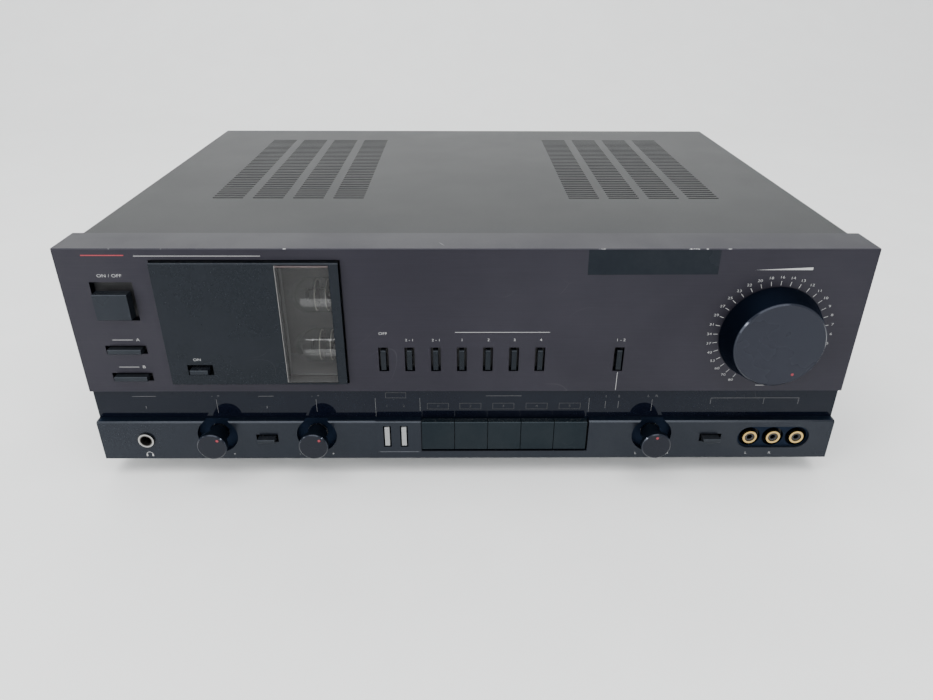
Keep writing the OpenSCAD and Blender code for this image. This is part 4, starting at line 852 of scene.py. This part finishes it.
# Input keys: five wide black mouldings side by side in the lower panel, over lamps in the strip above.
# Their faces are polished, and each has its own stem and switch.
key_gloss = Finish("key gloss", (0.003, 0.005, 0.007), (0.005, 0.0078, 0.0105), (0.1, 0.18), 0.0, 900.0,
                   relief=0.03, gloss=0.175, tint=(0.7, 0.88, 1.0))
add_marks(key_gloss, 22.0, 0.04, 0.06, 0.06)
key_gloss.dress(*[f"input_key_{i}" for i in range(1, 6)])

# Knobs: black mouldings on steel shafts, each with a flat satin face, a fine edge painted lighter as a
# painted highlight, and a red dot.
# The volume knob is a slightly tapered drum, and the small ones are mushroom-shaped.
# Their sides are painted a separate dark colour as painted shade, and the dots are paint in shallow recesses.


def knob_finish(name, face_dark, face_light, knob, shaded_sides):
    """A knob's finish: one colour on the face, a painted shade colour behind it, and a thin ring round the
    face painted lighter as a painted highlight.
    """
    made = Finish(name, face_dark, face_light, (0.26, 0.3), 0.0, 1200.0, relief=0.05, gloss=0.28,
                  tint=(0.77, 0.83, 1.0))
    add_marks(made, 22.0, 0.006, 0.0, 0.02)
    face = corners(knob)[0].y
    depth = made.axes()[1]
    # Painted shade behind the face, and a painted highlight on the thin ring round it.
    made.over(made.step(depth, face + 0.5, face + 1.1), shaded_sides, 0.55, 1.0)
    rim_highlight = made.both(made.step(depth, face + 0.05, face + 0.2), made.step(depth, face + 0.8, face + 0.6))
    made.over(rim_highlight, (0.012, 0.014, 0.02), 0.1)
    return made


volume_black = knob_finish("volume knob moulding", (0.0088, 0.0096, 0.0142), (0.0112, 0.012, 0.017),
                           "volume_knob", (0.0035, 0.0057, 0.0115))
volume_black.dress("volume_knob")
knob_black = knob_finish("small knob moulding", (0.0022, 0.0026, 0.0042), (0.0034, 0.004, 0.006),
                         "bass_knob", (0.011, 0.016, 0.025))
knob_black.dress("bass_knob", "treble_knob", "balance_knob")
dot_red = Finish("red dot paint", (0.2, 0.012, 0.022), (0.28, 0.02, 0.034), (0.25, 0.35), relief=0.05)
dot_profile = ((0, -0.38), (0.84, -0.38), (0.84, -0.06), (0.6, 0.0), (0, 0.0))
dial_x, dial_z = 169.7, 95.0
small_z, small_radius = 28.7, 5.78
for body, x, z, radius, clockwise in (("volume", dial_x, dial_z, 20.448, 150),
                                      ("bass", -148.8, small_z, small_radius, 40),
                                      ("treble", -89.8, small_z, small_radius, 40),
                                      ("balance", 110.6, small_z, small_radius, 0)):
    face = corners(body + "_knob")[0].y
    angle = math.radians(clockwise)
    spot = (x + radius * math.sin(angle), face + 0.01, z + radius * math.cos(angle))
    dot = bmesh.new()
    turned(dot, dot_profile, towards((0, -1, 0), spot), 20)
    keep_piece(body + "_dot", dot, dot_red, body)

# Volume scale: screen-printed ticks round the knob, with plain numbers from the quiet end to the loud end.
# The ink is a thin grey-white layer on the anodised panel.
tick_tool, given = geometry_tool("Dial ticks", {
    "Count": "Int", "Middle": "Vector", "Radius": "Float", "Start": "Float", "Step": "Float",
    "Tick Size": "Vector", "Material": "Material"})
tick_index = tick_tool.nodes.new("GeometryNodeInputIndex").outputs[0]
turn = calculate(tick_tool, "ADD", given["Start"], product(tick_tool, tick_index, given["Step"]))
spot = add_node(tick_tool, "ShaderNodeVectorMath", on_circle(tick_tool, turn, given["Radius"]),
                given["Middle"], operation="ADD").outputs[0]
points = add_node(tick_tool, "GeometryNodePoints", given["Count"], spot).outputs[0]
tick = add_node(tick_tool, "GeometryNodeMeshCube", given["Tick Size"]).outputs[0]
turns = add_node(tick_tool, "ShaderNodeCombineXYZ", 0.0, turn, 0.0).outputs[0]
end_tool(tick_tool, place_on(tick_tool, points, tick, turns), given["Material"])
panel_ink = Finish("panel ink", (0.36, 0.36, 0.36), (0.46, 0.46, 0.455), (0.5, 0.65), relief=0.1)
dial_start, dial_step = math.radians(-150), math.radians(10)
tick_radius, number_radius = 30.8, 34.2
scale = "80 70 60 53 43 37 34 31 29 27 25 23 22 20 18 16 14 13 12 11 10 9 8 7 6 5 4 3 2 1 0".split()
grow("dial_ticks", tick_tool, "chassis", "fascia_finish", count=len(scale),
     middle=(dial_x * MM, front * MM, dial_z * MM), radius=tick_radius * MM, start=dial_start, step=dial_step,
     tick_size=(0.28 * MM, 2 * PRINT * MM, 2.5 * MM), material=panel_ink.material)
numbers = bmesh.new()
for i, number in enumerate(scale):
    angle = dial_start + dial_step * i
    spot = (dial_x + number_radius * math.sin(angle), front, dial_z + number_radius * math.cos(angle))
    add_text(numbers, number, spot, 1.5, 1.35)
wedge = ((154.4, 133.4), (185.1, 133.4), (185.1, 134.9))
add_plate(numbers, wedge, front + PRINT, front - PRINT)
add_line(numbers, front, 167.6, 61.6, 172.8, 61.9)
keep_piece("dial_numbers", numbers, panel_ink, "chassis")

# Marks on the upper panel: plain printed letters, numbers and lines above the buttons, and one red line.
# They are printed in the dial's grey-white ink, and one of them stands on the smoked panel.
red_ink = Finish("red ink", (0.24, 0.012, 0.022), (0.32, 0.02, 0.032), (0.5, 0.65), relief=0.1)
red_line = bmesh.new()
add_line(red_line, front, -204.1, 141.3, -181.5, 141.9)
keep_piece("red_line", red_line, red_ink, "chassis")
marks = bmesh.new()
add_line(marks, front, -176.4, 141.1, -109.7, 141.4)
add_text(marks, "ON / OFF", (-191.6, front, 130.0), 1.8)
for letter, height in (("A", 91.6), ("B", 74.3)):
    add_line(marks, front, -198.4, height - 0.13, -187.0, height + 0.13)
    add_text(marks, letter, (-184.2, front, height), 1.8)
add_text(marks, "OFF", (-47.4, front, 95.4), 1.6)
for x in (-32.7, -17.7):
    add_text(marks, "2 - 1", (x, front, 91.3), 1.5)
for i, x in enumerate((-3.1, 11.8, 26.4, 41.3)):
    add_text(marks, str(i + 1), (x, front, 91.4), 1.6)
add_line(marks, front, -7.1, 96.1, 46.0, 96.35)
add_text(marks, "1 - 2", (86.3, front, 91.3), 1.6)
add_line(marks, front, 86.25, 58.6, 86.5, 70.6)
keep_piece("panel_marks", marks, panel_ink, "chassis")
preheat_mark = bmesh.new()
add_text(preheat_mark, "ON", (-152.2, corners("smoked_panel")[0].y, 80.5), 1.6)
keep_piece("preheat_mark", preheat_mark, panel_ink, "chassis")

# Marks on the strip: dim lines, boxes and numbers over the knobs, keys and lamps.
# They are printed in two greys, the fainter one round the lamps.
dim_ink = Finish("dim grey ink", (0.07, 0.07, 0.073), (0.1, 0.1, 0.103), (0.45, 0.6), relief=0.05)
faint_ink = Finish("faint grey ink", (0.028, 0.028, 0.03), (0.04, 0.04, 0.042), (0.45, 0.6), relief=0.05)
strip = corners("indicator_strip")[0].y
strip_marks = bmesh.new()
for x0, x1 in ((-197, -183), (-123, -114), (11, 32)):
    add_line(strip_marks, strip, x0, 52.7, x1, 52.95)
for x in (-148.1, -89.4):
    add_text(strip_marks, "-   +", (x, strip, 53.0), 1.6)
add_text(strip_marks, "L    R", (109.8, strip, 52.6), 1.6)
for x in (-190.1, -118.7):
    add_line(strip_marks, strip, x - 0.2, 44.5, x + 0.2, 46.0)
for x, low, high in ((-148.0, 41.3, 50.7), (-89.3, 41.9, 50.6), (109.8, 42.2, 50.2), (-54.4, 38.6, 51.4),
                     (-28.0, 42.3, 51.4), (72.3, 41.4, 51.2), (82.1, 44.2, 49.1), (89.8, 44.2, 49.1)):
    add_line(strip_marks, strip, x - 0.13, low, x + 0.13, high)
for i, x in enumerate((82.1, 89.8)):
    add_text(strip_marks, str(i + 1), (x, strip, 52.4), 1.6)
add_line(strip_marks, strip, 144.5, 51.0, 197.1, 51.25)
for x in (144.5, 176.1, 196.85):
    add_line(strip_marks, strip, x, 46.9, x + 0.25, 51.0)
keep_piece("strip_marks", strip_marks, dim_ink, "chassis")
lamp_marks = bmesh.new()
add_frame(lamp_marks, strip, -48.3, 51.4, -36.1, 55.2, 0.22)
for i, x in enumerate((-17.4, 1.9, 21.5, 41.3, 61.0)):
    add_frame(lamp_marks, strip, x - 6.4, 43.6, x + 6.4, 47.8, 0.22)
    add_text(lamp_marks, str(i + 1), (x, strip, 45.7), 1.7)
for i, x in enumerate((-47.7, -37.7)):
    add_text(lamp_marks, str(i + 1), (x, strip, 45.8), 1.6)
keep_piece("lamp_marks", lamp_marks, faint_ink, "chassis")

# Marks on the lower panel: plus and minus signs, single letters and a headphone sign below the controls.
# They are printed on the polished moulding in the same grey-white ink as the dial.
low_marks = bmesh.new()
for text, x in (("+", -140.6), ("-", -101.0), ("+", -81.0), ("L", 102.5), ("R", 121.8), ("L", 169.8),
                ("R", 184.2)):
    add_text(low_marks, text, (x, low_front, 15.2), 1.6)
bow_x, bow_z, bow_out, bow_in = socket_x, 15.0, 2.0, 1.7
bow = [(math.cos(math.pi * i / 10), math.sin(math.pi * i / 10)) for i in range(11)]
for start, end in zip(bow, bow[1:]):
    bends = ((bow_out, start), (bow_out, end), (bow_in, end), (bow_in, start))
    outline = [(bow_x + radius * turn[0], bow_z + radius * turn[1]) for radius, turn in bends]
    add_plate(low_marks, outline, low_front + PRINT, low_front - PRINT)
for x in (-194.0, -190.5):
    add_line(low_marks, low_front, x, 13.8, x + 0.9, 15.4)
keep_piece("lower_marks", low_marks, panel_ink, "chassis")

# Top cover: folded sheet steel with two groups of slits, stoved in a fine-textured grey paint.
# Dust lies on it, and the paint has faint rubs.
cover_paint = Finish("grey textured paint", (0.0116, 0.0121, 0.0134), (0.0134, 0.0139, 0.0155), (0.39, 0.42),
                     0.0, 1900.0, relief=0.2, gloss=0.19)
add_marks(cover_paint, 10.0, 0.01, 0.04, 0.03)
cover_paint.dress("top_cover")

# Stage: a pale paper floor that sweeps up into a backdrop in one bend.
# It isn't part of the set. All its sizes are in metres.
pale = Finish("pale floor", (0.9, 0.9, 0.885), (0.93, 0.93, 0.915), (0.45, 0.6), 0.0, 6.0, relief=0.02)
half_wide, near_end, bend_at, bend_radius, sweep_top = 6.0, -4.0, 0.9, 0.7, 3.6
bend = [(bend_at + bend_radius * math.sin(a), bend_radius * (1 - math.cos(a)))
        for a in (math.pi / 2 * i / 12 for i in range(1, 13))]
profile = [(near_end, 0.0), (bend_at, 0.0), *bend, (bend_at + bend_radius, sweep_top)]
sweep = bmesh.new()
rows = [[sweep.verts.new((x, y, z)) for x in (-half_wide, half_wide)] for y, z in profile]
for first, second in zip(rows, rows[1:]):
    sweep.faces.new((first[0], first[1], second[1], second[0])).smooth = True
backdrop_mesh = bpy.data.meshes.new("floor")
sweep.to_mesh(backdrop_mesh)
sweep.free()
backdrop_mesh.materials.append(pale.material)
backdrop = bpy.data.objects.new("floor", backdrop_mesh)
bpy.context.scene.collection.objects.link(backdrop)

# Light: a wide soft box overhead, a weak one low at the left, two small lamps in front, and a pale surround.
# Each has its place, its aim, its width and depth in metres, and its power in watts.
world = bpy.data.worlds.new("pale surround")
world.use_nodes = True
surround = world.node_tree.nodes["Background"].inputs
surround["Color"].default_value = (0.9, 0.95, 1.0, 1.0)
surround["Strength"].default_value = 0.7
bpy.context.scene.world = world
for name, spot, aim, wide, deep, power in (
        ("overhead", (-0.2, -0.7, 2.4), (0.0, -0.1, 0.0), 3.2, 2.6, 104.0),
        ("left", (-1.6, -1.2, 0.5), (0.0, -0.15, 0.08), 1.0, 0.8, 14.0),
        ("left lamp", (-1.0, -1.0, 0.59), (0.1, -0.15, 0.08), 0.2, 0.2, 3.6),
        ("right lamp", (0.93, -1.04, 0.66), (-0.1, -0.15, 0.08), 0.2, 0.2, 3.0)):
    lamp = bpy.data.lights.new(name, "AREA")
    lamp.shape = "RECTANGLE"
    lamp.size = wide
    lamp.size_y = deep
    lamp.energy = power
    holder = bpy.data.objects.new(name, lamp)
    holder.location = spot
    holder.rotation_euler = (Vector(aim) - Vector(spot)).to_track_quat("-Z", "Y").to_euler()
    bpy.context.scene.collection.objects.link(holder)

# Camera: at the photograph's place, above and in front of the set, looking a little down.
# Its place, turn and lens come from the case's corners in the photograph.
lens = bpy.data.cameras.new("camera")
lens.lens = 27.941
lens.sensor_width = 36.0
lens.clip_start = 0.01
camera = bpy.data.objects.new("camera", lens)
camera.location = (-0.004373, -0.517735, 0.276608)
camera.rotation_euler = [math.radians(a) for a in (62.100, -0.200, -0.496)]
bpy.context.scene.collection.objects.link(camera)
bpy.context.scene.camera = camera
